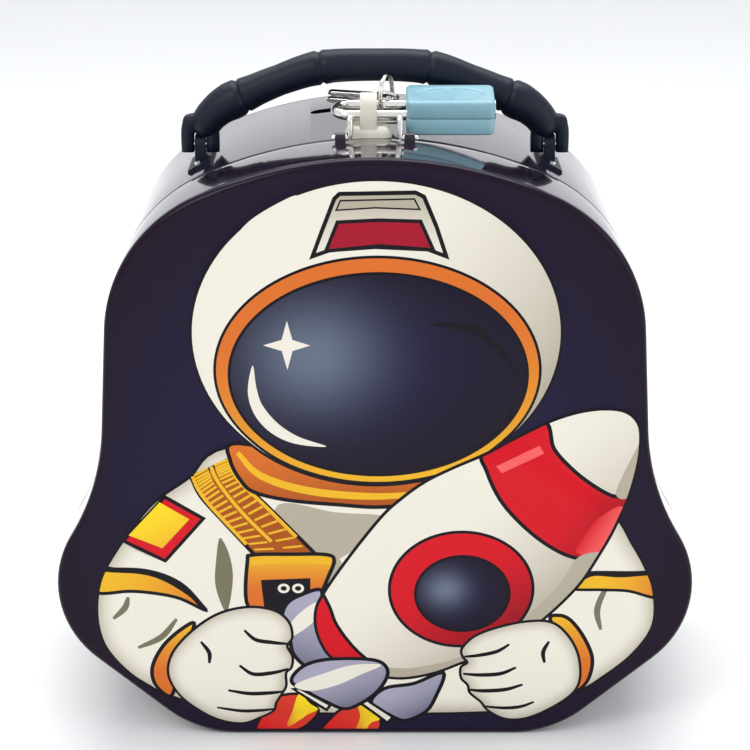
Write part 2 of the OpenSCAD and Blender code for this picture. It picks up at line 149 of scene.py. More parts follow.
def merged(parts: list) -> tuple:
    """Joins several meshes into one, and shifts their point numbers.

    Args:
        parts: Pairs of points and faces.

    Returns:
        One pair of points and faces.
    """
    verts, faces, start = [], [], 0
    for v, f in parts:
        verts.append(np.asarray(v, float).reshape(-1, 3))
        faces += [[int(k) + start for k in face] for face in f]
        start += len(verts[-1])
    return np.concatenate(verts), faces


def smooth_path(points: list, per: int = 8, closed: bool = False) -> np.ndarray:
    """Catmull-Rom curve: each stretch is the cubic that leaves a point along the line between its neighbours.

    Args:
        points: Points that the curve goes through.
        per: Steps to a stretch.
        closed: Whether the curve is a loop.

    Returns:
        Points along the curve.
    """
    p = np.asarray(points, float)
    if closed:
        q = np.concatenate([p[-1:], p, p[:2]])
    else:
        q = np.concatenate([2 * p[:1] - p[1:2], p, 2 * p[-1:] - p[-2:-1]])
    t = np.linspace(0, 1, per, endpoint=False)[None, :, None]
    a, b, c, d = (q[k : len(q) - 3 + k][:, None, :] for k in range(4))
    out = 0.5 * (2 * b + (c - a) * t + (2 * a - 5 * b + 4 * c - d) * t**2 + (3 * b - a - 3 * c + d) * t**3)
    out = out.reshape(-1, p.shape[1])
    return out if closed else np.concatenate([out, p[-1:]])


def tube(path: np.ndarray, radius: float, ref: tuple, sides: int = 20, closed: bool = False,
         flat: float = 1.0) -> tuple:
    """Round bar: a circle square to the path at each point, with a rounded cap at each open end.

    Args:
        path: Centre line, one row a point.
        radius: One radius, or one a point.
        ref: Direction that is never along the path, from which the circle is measured.
        sides: Points round the bar.
        closed: Whether the path is a ring.
        flat: Ratio of the size along ref to the size across it.

    Returns:
        Points and faces.
    """
    path = np.asarray(path, float)
    radius = np.broadcast_to(np.asarray(radius, float), (len(path),)).copy()
    ref = np.asarray(ref, float)
    if closed:
        tangent = np.roll(path, -1, 0) - np.roll(path, 1, 0)
    else:
        lead = np.gradient(path, axis=0)
        unit0, unit1 = lead[0] / np.linalg.norm(lead[0]), lead[-1] / np.linalg.norm(lead[-1])
        turn_in, turn_out = np.radians([10.0, 35.0, 60.0, 85.0]), np.radians([5.0, 30.0, 55.0, 80.0])
        head = path[0] - radius[0] * np.cos(turn_in)[:, None] * unit0
        tail = path[-1] + radius[-1] * np.sin(turn_out)[:, None] * unit1
        path = np.concatenate([head, path, tail])
        radius = np.concatenate([radius[0] * np.sin(turn_in), radius, radius[-1] * np.cos(turn_out)])
        tangent = np.gradient(path, axis=0)
    tangent /= np.linalg.norm(tangent, axis=1)[:, None]
    side = np.cross(tangent, ref)
    side /= np.linalg.norm(side, axis=1)[:, None]
    up = np.cross(side, tangent)
    a = np.arange(sides) / sides * TAU
    ring = np.cos(a)[None, :, None] * side[:, None] + flat * np.sin(a)[None, :, None] * up[:, None]
    verts = path[:, None] + radius[:, None, None] * ring
    faces = grid_faces(len(path), sides, wrap_u=closed).tolist()
    if not closed:
        n = len(path) * sides
        faces += [list(range(sides))[::-1], list(range(n - sides, n))]
    return verts.reshape(-1, 3), faces


def rounded_rect(w: float, h: float, r: float, n: int = 16) -> np.ndarray:
    """Loop of a rounded rectangle about the origin, anticlockwise from +X: a quarter circle at each corner.

    Args:
        w: Width.
        h: Height.
        r: Radius of the corners.
        n: Points to a corner.

    Returns:
        The loop.
    """
    a = np.linspace(0, math.pi / 2, n)
    cx, cy = w / 2 - r, h / 2 - r
    corners = [(cx, cy, 0), (-cx, cy, 1), (-cx, -cy, 2), (cx, -cy, 3)]
    return np.concatenate([np.stack([x + r * np.cos(a + k * math.pi / 2),
                                     y + r * np.sin(a + k * math.pi / 2)], -1) for x, y, k in corners])


def turned(points: np.ndarray, axis: int, degrees: float) -> np.ndarray:
    """Points turned about an axis through the origin.

    Args:
        points: Points, one a row.
        axis: 0, 1 or 2 for X, Y or Z.
        degrees: Angle of the turn.

    Returns:
        The turned points.
    """
    c, s = math.cos(math.radians(degrees)), math.sin(math.radians(degrees))
    i, j = [(1, 2), (2, 0), (0, 1)][axis]
    p = np.array(points, float)
    p[..., i], p[..., j] = c * points[..., i] - s * points[..., j], s * points[..., i] + c * points[..., j]
    return p


def capped(rows: np.ndarray, flip: bool = False) -> tuple:
    """Closes a stack of loops: quads between the loops and one face over each end.

    Args:
        rows: Loops, one after another.
        flip: Whether the faces turn the other way.

    Returns:
        Points and faces.
    """
    count, sides = rows.shape[:2]
    faces = grid_faces(count, sides).tolist()
    faces += [list(range((count - 1) * sides, count * sides)), list(range(sides))[::-1]]
    return rows.reshape(-1, 3), [f[::-1] for f in faces] if flip else faces


def loop_edges(start: int, count: int) -> list:
    """Pairs of point numbers round a closed loop.

    Args:
        start: Number of its first point.
        count: How many points it has.

    Returns:
        The pairs.
    """
    return [(start + k, start + (k + 1) % count) for k in range(count)]


def filled(points: np.ndarray, edges: list, near: float) -> tuple:
    """Delaunay triangles over the points that keep the edges, all anticlockwise.

    Args:
        points: Points in a plane.
        edges: Pairs of point numbers.
        near: Distance under which points become one.

    Returns:
        Points and triangles.
    """
    made = delaunay_2d_cdt([Vector(p) for p in points.tolist()], edges, [], 0, near)
    flat, tris = np.array([tuple(v) for v in made[0]]), np.array(made[2])
    a, b, c = (flat[tris[:, k]] for k in range(3))
    turn = (b[:, 0] - a[:, 0]) * (c[:, 1] - a[:, 1]) - (b[:, 1] - a[:, 1]) * (c[:, 0] - a[:, 0])
    tris[turn < 0] = tris[turn < 0][:, ::-1]
    return flat, tris


# ---------------------------------------------------------------------------------------------- finishes
class Socket:
    """Wraps a shader socket so that sums and products of sockets read as formulas."""

    def __init__(self, shader: "Shader", output: bpy.types.NodeSocket) -> None:
        """Ties an output to its shader."""
        self.shader, self.output = shader, output

    def _maths(self, kind: str, a: "Socket | float", b: "Socket | float") -> "Socket":
        """Makes the Math node of that kind on a and b."""
        return self.shader.node("ShaderNodeMath", {"operation": kind}, {0: a, 1: b})["Value"]

    def __add__(self, other: "Socket | float") -> "Socket":
        """Sum."""
        return self._maths("ADD", self, other)

    def __sub__(self, other: "Socket | float") -> "Socket":
        """Difference."""
        return self._maths("SUBTRACT", self, other)

    def __rsub__(self, other: "Socket | float") -> "Socket":
        """Difference from a number."""
        return self._maths("SUBTRACT", other, self)

    def __mul__(self, other: "Socket | float") -> "Socket":
        """Product."""
        return self._maths("MULTIPLY", self, other)

    __radd__, __rmul__ = __add__, __mul__

    def above(self, low: float, high: float) -> "Socket":
        """Runs from 0 at low to 1 at high along an S-shaped cubic.

        Args:
            low: Value that gives 0.
            high: Value that gives 1.

        Returns:
            The share.
        """
        made = self.shader.node("ShaderNodeMapRange", {"interpolation_type": "SMOOTHSTEP"},
                                {"Value": self, "From Min": low, "From Max": high})
        return made["Result"]


class Shader:
    """One material with a single main shader, and the nodes that feed it."""

    def __init__(self, name: str) -> None:
        """Makes the material with its main shader.

        Args:
            name: Its name.
        """
        self.material = bpy.data.materials.new(name)
        self.material.use_nodes = True
        self.tree = self.material.node_tree
        self.main = self.tree.nodes["Principled BSDF"]

    def node(self, kind: str, settings: dict | None = None, inputs: dict | None = None) -> dict:
        """Makes a node.

        Args:
            kind: Type of node.
            settings: Its properties, set first.
            inputs: Values or sockets for its inputs, by name or number.

        Returns:
            Its outputs as sockets, by name and by number.
        """
        made = self.tree.nodes.new(kind)
        for key, value in (settings or {}).items():
            setattr(made, key, value)
        for key, value in (inputs or {}).items():
            self._feed(made.inputs[key], value)
        outputs = {}
        for index, output in enumerate(made.outputs):
            outputs[index] = outputs[output.name] = Socket(self, output)
        return outputs

    def _feed(self, socket: bpy.types.NodeSocket, value: object) -> None:
        """Links a socket or sets a value.

        Args:
            socket: Input to feed.
            value: Socket or plain value.
        """
        if isinstance(value, Socket):
            self.tree.links.new(value.output, socket)
        else:
            socket.default_value = value

    def set(self, **values: object) -> "Shader":
        """Feeds the main shader's inputs, with underscores for the spaces in their names.

        Args:
            values: Value or socket of each input.

        Returns:
            This shader.
        """
        for key, value in values.items():
            self._feed(self.main.inputs[key.replace("_", " ")], value)
        return self

    def noise(self, scale: float, detail: float = 3.0) -> Socket:
        """Cloudy noise over the object.

        Args:
            scale: Waves a metre.
            detail: How many finer layers it has.

        Returns:
            The noise, from 0 to 1.
        """
        place = self.node("ShaderNodeTexCoord")["Object"]
        found = self.node("ShaderNodeTexNoise", {}, {"Vector": place, "Scale": scale, "Detail": detail})
        return found.get("Fac") or found["Factor"]

    def mix(self, factor: Socket, a: tuple, b: tuple) -> Socket:
        """Colour a where factor is 0 and b where it is 1."""
        return self.node("ShaderNodeMix", {"data_type": "RGBA"}, {0: factor, 6: a, 7: b})[2]

    def bump(self, height: Socket, strength: float, distance: float = 0.0004) -> "Shader":
        """Gives the main shader a bump.

        Args:
            height: Height from 0 to 1.
            strength: Share of the bump that shows.
            distance: Height that 1 stands for, in metres.

        Returns:
            This shader.
        """
        made = self.node("ShaderNodeBump", {}, {"Height": height, "Strength": strength,
                                                "Distance": distance})
        return self.set(Normal=made["Normal"])


@dataclass(frozen=True)
class Finish:
    """A plain finish with small changes of roughness over the surface."""

    name: str
    colour: tuple
    metallic: float = 0.0
    rough: float = 0.4
    spread: float = 0.08
    scale: float = 300.0
    coat: float = 0.0
    bump: float = 0.0
    spots: float = 0.12
    shine: float = 0.5
    coat_ior: float = 1.45

    def build(self) -> bpy.types.Material:
        """Makes the material: colour and roughness follow the same cloudy noise.

        Returns:
            The material.
        """
        s = Shader(self.name)
        cloud = s.noise(self.scale)
        dark = tuple(c * (1 - self.spots) for c in self.colour) + (1,)
        s.set(Base_Color=s.mix(cloud.above(0.35, 0.7), self.colour + (1,), dark), Metallic=self.metallic,
              Roughness=cloud * self.spread + (self.rough - self.spread / 2), Coat_Weight=self.coat,
              Coat_Roughness=0.05, Coat_IOR=self.coat_ior, Specular_IOR_Level=self.shine)
        if self.bump:
            s.bump(s.noise(self.scale * 6), self.bump)
        return s.material


@dataclass(frozen=True)
class PrintedTin:
    """Tin with the drawing printed on it: the ink, and the painted highlights on the visor and the porthole's
    ball, come from the mesh's own colour attribute.
    """

    name: str = "printed_tin"

    def build(self) -> bpy.types.Material:
        """Makes the material under a thin lacquer.

        Returns:
            The material.
        """
        s = Shader(self.name)
        ink = s.node("ShaderNodeVertexColor", {"layer_name": "Ink"})["Color"]
        cloud = s.noise(60.0)
        s.set(Base_Color=ink, Roughness=cloud * 0.06 + 0.16, Coat_Weight=0.35, Coat_Roughness=0.04,
              Coat_IOR=1.3, Specular_IOR_Level=0.08)
        return s.material


NIGHT = Finish("night_tin", (0.012, 0.005, 0.016), rough=0.16, spread=0.05, scale=40, coat=0.8, shine=0.12)
NIGHT_TOP = Finish("night_tin_band", (0.012, 0.005, 0.016), rough=0.14, spread=0.04, scale=40, coat=1.0,
                   shine=0.3, coat_ior=2.2)
BARE = Finish("bare_tin", (0.62, 0.61, 0.58), metallic=1.0, rough=0.36, scale=120)
NICKEL = Finish("nickel", (0.78, 0.76, 0.71), metallic=1.0, rough=0.17, spread=0.08, scale=420)
ZINC = Finish("zinc", (0.55, 0.55, 0.56), metallic=1.0, rough=0.45, scale=500, bump=0.2)
BRASS = Finish("brass", (0.72, 0.52, 0.22), metallic=1.0, rough=0.25, scale=500)
ENAMEL = Finish("cream_enamel", (0.72, 0.68, 0.58), rough=0.30, scale=260, coat=0.3, bump=0.06, spots=0.06)
NAVY_PLASTIC = Finish("navy_plastic", (0.0045, 0.008, 0.019), rough=0.42, spread=0.08, scale=700,
                      bump=0.10, shine=0.22)
AQUA = Finish("aqua_plastic", (0.235, 0.43, 0.50), rough=0.30, spread=0.06, scale=500, bump=0.08, spots=0.05)


# ---------------------------------------------------------------------------------------------- outline
@dataclass(frozen=True)
class Outline:
    """The bag shape: dome, shoulder, hollow flare, belly and corner, each an arc that runs into the next."""

    width: float = 160.0
    height: float = 151.0
    shoulder_w: float = 131.5
    dome: float = 104.0
    shoulder: float = 39.0
    flare: float = 61.0
    belly: float = 26.0
    corner: float = 28.0
    belly_z: float = 41.0
    lean: float = math.radians(3.5)
    slope: float = math.radians(40.0)

    def arcs(self) -> list:
        """Returns: (centre, radius, side, start, end) for the right half from top to bottom.

        Side is +1 where an inset makes the radius smaller. The flare's middle is found from its distance to
        the belly's middle, which is the two radii together.
        """
        lean_n = np.array([math.cos(self.lean), math.sin(self.lean)])
        lean_u = np.array([math.sin(self.lean), -math.cos(self.lean)])
        slope_n = np.array([math.sin(self.slope), -math.cos(self.slope)])
        top = np.array([0.0, self.height - self.dome])
        a = math.asin((self.shoulder_w / 2 - self.shoulder * lean_n[0]) / (self.dome - self.shoulder))
        c1 = top + (self.dome - self.shoulder) * np.array([math.sin(a), math.cos(a)])
        c3 = np.array([self.width / 2 - self.belly, self.belly_z])
        base = c1 + (self.shoulder + self.flare) * lean_n
        k = float((base - c3) @ lean_u)
        q = float((base - c3) @ (base - c3)) - (self.flare + self.belly) ** 2
        c2 = base + (-k - math.sqrt(k * k - q)) * lean_u
        to = (c3 - c2) / np.linalg.norm(c3 - c2)
        meet = math.atan2(to[1], to[0])
        end = c3 + self.belly * slope_n
        c4 = np.array([end[0] - (self.corner + (self.corner - end[1]) * slope_n[1]) / slope_n[0],
                       self.corner])
        half = math.pi / 2
        return [(top, self.dome, 1, half, half - a, 26), (c1, self.shoulder, 1, half - a, self.lean, 26),
                (c2, self.flare, -1, math.pi + self.lean, TAU + meet, 16),
                (c3, self.belly, 1, meet + math.pi, self.slope - half, 18),
                (c4, self.corner, 1, self.slope - half, -half, 14)]

    def loop(self, inset: float) -> np.ndarray:
        """Closed loop of the outline, clockwise from the top.

        Args:
            inset: Distance inwards.

        Returns:
            Points (x, z).
        """
        right = []
        for centre, radius, side, start, end, n in self.arcs():
            t = np.linspace(start, end, n)
            r = radius - side * inset
            right.append(centre + r * np.stack([np.cos(t), np.sin(t)], -1))
        right = np.concatenate(right)
        keep = np.append(True, np.linalg.norm(np.diff(right, axis=0), axis=1) > 0.02)
        right = right[keep]
        left = right[::-1] * np.array([-1.0, 1.0])
        return np.concatenate([right, left[:-1]])

    def rings(self, section: list) -> np.ndarray:
        """Sweeps a cross-section round the outline.

        Args:
            section: Pairs of inset and y.

        Returns:
            Grid of points, one row a pair.
        """
        rows = []
        for inset, y in section:
            loop = self.loop(inset)
            rows.append(np.stack([loop[:, 0], np.full(len(loop), y), loop[:, 1]], -1))
        return np.array(rows)


def notched(grid: np.ndarray, seam: float, back: float) -> np.ndarray:
    """Sets a seam edge back along the bottom, so that the front can turn down.

    Args:
        grid: Points of a band.
        seam: Y of the seam.
        back: How far it is set back.

    Returns:
        The same grid.
    """
    over = (grid[..., 2].min(0) < 1.8)[None, :]
    near = np.abs(grid[..., 1] - seam) < abs(back)
    grid[..., 1] = np.where(over & near, seam + back + (grid[..., 1] - seam) * 0.1, grid[..., 1])
    return grid


# ---------------------------------------------------------------------------------------------- drawing
def ellipse(c: tuple, a: float, b: float, n: int = 72) -> np.ndarray:
    """Loop of an ellipse.

    Args:
        c: Its middle.
        a: Half its width.
        b: Half its height.
        n: Number of points.

    Returns:
        The loop.
    """
    t = np.arange(n) / n * TAU
    return np.stack([c[0] + a * np.cos(t), c[1] + b * np.sin(t)], -1)


def inside(points: np.ndarray, loop: np.ndarray) -> np.ndarray:
    """Even-odd test: a point is inside where a line to its right crosses the loop an odd number of times.

    Args:
        points: Points to test.
        loop: Closed loop.

    Returns:
        True or False for each point.
    """
    x, y = points[:, :1], points[:, 1:]
    x0, y0 = loop[:, 0], loop[:, 1]
    x1, y1 = np.roll(x0, -1), np.roll(y0, -1)
    crosses = (y0 > y) != (y1 > y)
    with np.errstate(divide="ignore", invalid="ignore"):
        at = x0 + (y - y0) * (x1 - x0) / (y1 - y0)
    return (np.sum(crosses & (x < at), axis=1) % 2).astype(bool)


def depth_inside(points: np.ndarray, loop: np.ndarray) -> np.ndarray:
    """Distance from each point to the loop.

    Args:
        points: Points to measure.
        loop: Closed loop.

    Returns:
        The distances, 0 outside the loop.
    """
    a, b = loop, np.roll(loop, -1, 0)
    d = b - a
    best = np.full(len(points), 1e9)
    for start, step in zip(a, d):
        t = np.clip(((points - start) @ step) / max(float(step @ step), 1e-9), 0, 1)
        best = np.minimum(best, np.hypot(*(points - start - t[:, None] * step).T))
    return np.where(inside(points, loop), best, 0.0)


def grown(loop: np.ndarray, by: float) -> np.ndarray:
    """Moves each point of a loop outwards along the middle of its corner.

    Args:
        loop: Closed loop.
        by: Distance, or inwards where it is below 0.

    Returns:
        The new loop.
    """
    ahead = np.roll(loop, -1, 0) - loop
    behind = loop - np.roll(loop, 1, 0)
    area = np.sum(loop[:, 0] * np.roll(loop[:, 1], -1) - np.roll(loop[:, 0], -1) * loop[:, 1])
    sign = 1.0 if area > 0 else -1.0
    n1 = np.stack([ahead[:, 1], -ahead[:, 0]], -1) / np.maximum(np.hypot(*ahead.T), 1e-9)[:, None]
    n0 = np.stack([behind[:, 1], -behind[:, 0]], -1) / np.maximum(np.hypot(*behind.T), 1e-9)[:, None]
    mean = n0 + n1
    size = np.maximum(np.sum(mean * mean, 1) / 2, 0.35)
    return loop + sign * by * mean / size[:, None]


def stripe(points: list, width: float, ends: float = 0.15) -> np.ndarray:
    """Loop round an open curved line, widest in its middle.

    Args:
        points: Points of the line.
        width: Width in the middle.
        ends: Share of it at the ends.

    Returns:
        The loop.
    """
    p = smooth_path(points, 6)
    step = np.gradient(p, axis=0)
    n = np.stack([step[:, 1], -step[:, 0]], -1) / np.hypot(*step.T)[:, None]
    w = width / 2 * (ends + (1 - ends) * np.sin(np.linspace(0.12, 0.88, len(p)) * math.pi))[:, None]
    return np.concatenate([p + n * w, (p - n * w)[::-1]])


@dataclass
class Patch:
    """One printed area.

    Attributes:
        loop: Its edge, in millimetres across the face.
        ink: Its colour.
        line: Width of the dark line round it, or 0.
        tint: Colour that it turns to, or None.
        towards: Direction in which it turns to that colour, or None for all round the edge.
        reach: Distance over which it turns.
        clip: Loop that cuts it off, or None.
        painted_highlights: Soft spots of painted highlight and painted reflection, each (x, z, half width,
            half height, colour, strength).
    """

    loop: np.ndarray
    ink: Ink
    line: float = 0.9
    tint: Ink | None = None
    towards: tuple | None = None
    reach: float = 6.0
    clip: np.ndarray | None = None
    painted_highlights: tuple = ()


def curve(*points: tuple) -> np.ndarray:
    """Loop that curves through the points."""
    return smooth_path(points, 6, closed=True)


def straight(*points: tuple) -> np.ndarray:
    """Loop with straight sides."""
    return np.array(points, float)


@dataclass
class Drawing:
    """The printed astronaut: an opaque visor, a patched suit and a rocket held in both gloves."""

    helmet: tuple = ((0.3, 107.7), 44.9, 38.5)
    trim: tuple = ((0.6, 98.7), 39.5, 28.9)
    visor: tuple = ((0.8, 97.8), 36.2, 25.8)
    port: tuple = ((21.6, 41.4), 18.0, 15.6)
    ball: tuple = ((21.9, 40.3), 11.8, 10.2)

    def suit(self) -> np.ndarray:
        """Loop of the body and both arms."""
        return curve((-36, 79), (-46, 70.8), (-54.3, 64.7), (-60, 58), (-65, 50.7), (-68.6, 44), (-70, 37),
                     (-69.8, 30), (-67.8, 24), (-63, 18), (-58, 14.2), (-52, 11), (-36, 7), (0, 6), (36, 7),
                     (51, 12), (58.5, 16.8), (65.6, 23.2), (70.2, 31), (70, 40.5), (67.3, 47.6), (64, 53.5),
                     (60.6, 59.5), (55, 65.5), (46, 72), (36, 78), (0, 82))

    def hull(self) -> np.ndarray:
        """Loop of the rocket."""
        return curve((-13, 40), (-6.5, 50), (1.4, 60.6), (6.3, 65.5), (12.4, 70.2), (19.5, 74),
                     (27.1, 77.4), (34.1, 81), (40.6, 84.5), (46, 86.8), (51.4, 88.3), (56.8, 88.8),
                     (61.2, 88.1), (64.1, 85.7), (65.2, 81.9), (64.8, 74.3), (62.6, 64.8), (59.5, 57.5),
                     (55.9, 50.5), (51.7, 43.2), (46.3, 36.8), (40.8, 31.6), (35, 27.5), (29, 24),
                     (22.3, 21), (15, 18), (7, 16.5), (0, 17.5), (-7, 20.5), (-11.7, 23), (-14.6, 29),
                     (-15, 35))

    def fist_left(self) -> np.ndarray:
        """Loop of the glove on the left."""
        return curve((-52.6, 17.8), (-51.2, 23.9), (-46, 30), (-39.3, 34.6), (-31.8, 36.4), (-25.3, 35.4),
                     (-21.7, 32.2), (-20.9, 28), (-22.2, 25.6), (-20.9, 22.6), (-21.2, 19.6), (-22.6, 18),
                     (-22.6, 14.5), (-23.6, 12.4), (-25.2, 9.6), (-26, 7), (-29.4, 4.9), (-34, 3.2),
                     (-40, 4.2), (-45.5, 7.3), (-50, 11.7))

    def fist_right(self) -> np.ndarray:
        """Loop of the glove on the right."""
        return curve((22, 25.2), (25.1, 28.6), (30.7, 31), (37.9, 32.6), (44.3, 32.2), (48.4, 29),
                     (51.4, 23.5), (52.2, 16.6), (50.3, 11.7), (44.8, 7.4), (38.6, 4.6), (33.2, 4.5),
                     (29, 7), (27, 9.8), (24.2, 12.4), (23.6, 14.6), (21.9, 16.6), (21.8, 19.6),
                     (23.4, 21), (22.2, 22.8))

    def patches(self) -> list:
        """Puts every printed area in order.

        Returns:
            The areas, from the back to the front.
        """
        suit, hull = self.suit(), self.hull()
        body = [Patch(suit, Ink.CREAM, 0.7, Ink.SHADE, None, 5)]
        rocket = [Patch(hull, Ink.CREAM, 0.8, Ink.SHADE, (0.75, -0.8), 34)]
        body += self.sleeves(grown(suit, -0.35)) + self.chest() + self.head() + self.tail()
        return body + rocket + self.markings(grown(hull, -0.4)) + self.hands()

    def sleeves(self, in_suit: np.ndarray) -> list:
        """Folds, bands and the shoulder patch.

        Args:
            in_suit: Loop that cuts off what passes the suit's line.

        Returns:
            The areas.
        """
        made = []
        # Folds of the sleeves
        for line in ([(-38.6, 55), (-36.4, 46), (-37.6, 34)], [(-60, 25), (-54, 28), (-50, 33)],
                     [(-66, 33), (-63, 36), (-62, 39)], [(59, 44), (56, 36), (57, 30)]):
            made.append(Patch(stripe(line, 1.6), Ink.FOLD, 0))
        made.append(Patch(curve((-38.6, 55), (-36.5, 51), (-35.6, 44), (-37.4, 35), (-40, 42),
                                (-39.6, 50)), Ink.FOLD, 0))
        # Bands round the sleeves
        made += [Patch(curve((-70.5, 46.2), (-61, 46), (-54, 44.4), (-47, 40), (-42.6, 35.4), (-49, 38.6),
                             (-55, 40), (-62, 40.6), (-71, 40)), Ink.GOLD, 0.9, Ink.ORANGE, (1, -0.6), 26,
                       in_suit), Patch(stripe([(-70, 46.2), (-58, 46), (-49, 42.5), (-42.5, 35.3)], 1.7,
                                              0.5), Ink.LINE, 0, clip=in_suit),
                 Patch(curve((72, 44.6), (61, 44.8), (54, 45), (50, 41.4), (57, 41), (64, 40.6),
                             (72, 38.4)), Ink.GOLD, 0.8, Ink.ORANGE, (1, -0.2), 16, in_suit),
                 Patch(stripe([(72, 45.2), (61, 45.4), (53, 45.6)], 1.5, 0.6), Ink.LINE, 0, clip=in_suit)]
        # Shoulder patch
        made += [Patch(straight((-52.1, 65.8), (-42.6, 60.3), (-52.4, 48.9), (-62.8, 54.0)), Ink.RED, 0.9),
                 Patch(straight((-53.4, 64.4), (-46.1, 60.1), (-53.0, 52.3), (-61.4, 55.5)), Ink.YELLOW, 0,
                       Ink.GOLD, (0.5, -1), 12)]
        return made

    def chest(self) -> list:
        """Shade, harness, box and collar."""
        made = []
        made.append(Patch(curve((-24, 64), (-10, 62), (4, 60), (-8, 50), (-20, 44), (-24, 52)), Ink.SHADE,
                          0))
        made.append(Patch(curve((-32, 37), (-30, 50), (-10, 50), (-9, 42), (-14, 34), (-22, 34)),
                          Ink.SHADE, 0))
        left = smooth_path([(-45.4, 71.0), (-43.0, 66.0), (-37.3, 59.0), (-30.0, 50.4)], 6)
        mid = smooth_path([(-40.4, 74.0), (-38.4, 69.4), (-32.2, 61.0), (-22.4, 50.5)], 6)
        right = smooth_path([(-35.3, 76.2), (-34.1, 71.5), (-27.0, 64.0), (-14.9, 50.8)], 6)
        made.append(Patch(np.concatenate([left, right[::-1]]), Ink.BROWN, 1.0))
        short, half_rib = 0.16, 0.32
        for a, b in ((left, mid), (mid, right)):
            for k in range(len(a) - 1):
                p0, p1 = a[k] + (b[k] - a[k]) * short, b[k] - (b[k] - a[k]) * short
                step = a[k + 1] - a[k]
                step = step / float(np.hypot(*step)) * half_rib
                made.append(Patch(np.array([p0 - step, p1 - step, p1 + step, p0 + step]), Ink.GOLD, 0))
        for a in (left * 0.93 + mid * 0.07, mid, right * 0.93 + mid * 0.07):
            made.append(Patch(stripe(a[::4], 0.9, 1.0), Ink.GOLD, 0))
        made += [Patch(curve((-31.8, 36.2), (-31.9, 48.6), (-30.4, 50.5), (-21, 50.7), (-12.2, 50.6),
                             (-10.2, 49), (-11.6, 44.8), (-13.8, 40), (-17, 38.2), (-23.4, 35.4)),
                       Ink.ORANGE, 1.0, Ink.GOLD, (0, 1), 10), Patch(stripe([(-31.2, 48.4), (-21, 49.2),
                                                                             (-11, 48.6)], 1.6, 0.8),
                                                                     Ink.GOLD, 0),
                 Patch(straight((-28.6, 43.7), (-16.2, 44.2), (-16.2, 38.4), (-23.4, 35.4), (-27.8, 35.4)),
                       Ink.LINE, 0)]
        for x in (-22.9, -19.3):
            made += [Patch(ellipse((x, 41.4), 1.5, 1.3, 20), Ink.CREAM, 0),
                     Patch(ellipse((x, 41.4), 0.8, 0.65, 16), Ink.LINE, 0)]
        # Collar
        made += [Patch(curve((-34.9, 79.8), (-35.6, 75.6), (-33.1, 70.4), (-29.8, 67.3), (-21.5, 65.2),
                             (-9.3, 64), (2, 63.4), (14, 65.5), (18, 72), (0, 74), (-20, 78)), Ink.ORANGE,
                       1.0, Ink.BROWN, (0, -1), 16), Patch(stripe([(-33.8, 77.6), (-28, 71.6), (-16, 67.6),
                                                                   (0, 66.2), (13, 67.2)], 2.0, 0.3),
                                                           Ink.GOLD, 0)]
        return made

    def head(self) -> list:
        """Helmet, badge and opaque visor, with a painted reflection on the visor."""
        made = []
        helmet = ellipse(*self.helmet, 120)
        made.append(Patch(helmet, Ink.CREAM, 0.7, Ink.SHADE, (0.8, -0.6), 56))
        made += [Patch(curve((-36, 128), (-30, 136), (-20, 142), (-19, 141), (-28, 134), (-34, 126)),
                       Ink.CREAM, 0), Patch(straight((-14.9, 127.7), (-12.6, 134), (-9.6, 141.8),
                                                     (-8.4, 142.9), (9.6, 143.2), (11.6, 142.2),
                                                     (14.6, 135), (17, 127.7), (12.6, 129.4), (0, 130.0),
                                                     (-10.8, 129.2)), Ink.CREAM, 1.0, Ink.SHADE, (0, 1),
                                            18), Patch(straight((-9.2, 139), (-8.2, 141.3), (9.3, 141.7),
                                                                (10.6, 139.2), (0, 139.6)), Ink.SHADE,
                                                       0.4), Patch(straight((-11.7, 129.0), (-8.9, 136.1),
                                                                            (0.8, 136.6), (10.8, 136.3),
                                                                            (13.9, 129.3), (1, 130.3)),
                                                                   Ink.BADGE, 0.9)]
        trim, visor = ellipse(*self.trim, 120), ellipse(*self.visor, 120)
        # The visor's soft spots are a painted reflection on its dome: navy over the upper left and pale blue
        # further up and left
        made += [Patch(trim, Ink.ORANGE, 0.7, Ink.GOLD, (0.1, -1), 40),
                 Patch(visor, Ink.VISOR, 0.7, painted_highlights=((-6, 101, 30, 19, Ink.NAVY, 1.0),
                                                     (-15, 103, 15, 13, Ink.PAINTED_HIGHLIGHT, 0.75))),
                 Patch(curve((13, 111), (24, 111), (32, 103), (35, 96), (30, 104), (22, 109)), Ink.LINE,
                       0), Patch(curve((12, 74), (24, 79), (32, 87), (35.4, 95), (30, 80), (20, 75)),
                                 Ink.LINE, 0, clip=grown(visor, -0.35))]
        spark = np.array([(0, 6.2), (1.3, 1.4), (5.6, 0), (1.3, -1.4), (0, -6.2), (-1.3, -1.4), (-5.8, 0),
                          (-1.3, 1.4)])
        made += [Patch(spark + (-21.2, 105.7), Ink.CREAM, 0), Patch(curve((-29.6, 100.6), (-30.9, 94),
                                                                          (-29.4, 88), (-25.4, 83.2),
                                                                          (-19.6, 80.4), (-11.9, 79.7),
                                                                          (-18.6, 82.2), (-23.6, 85.6),
                                                                          (-27.4, 90.4), (-28.8, 95)),
                                                                    Ink.CREAM, 0)]
        return made

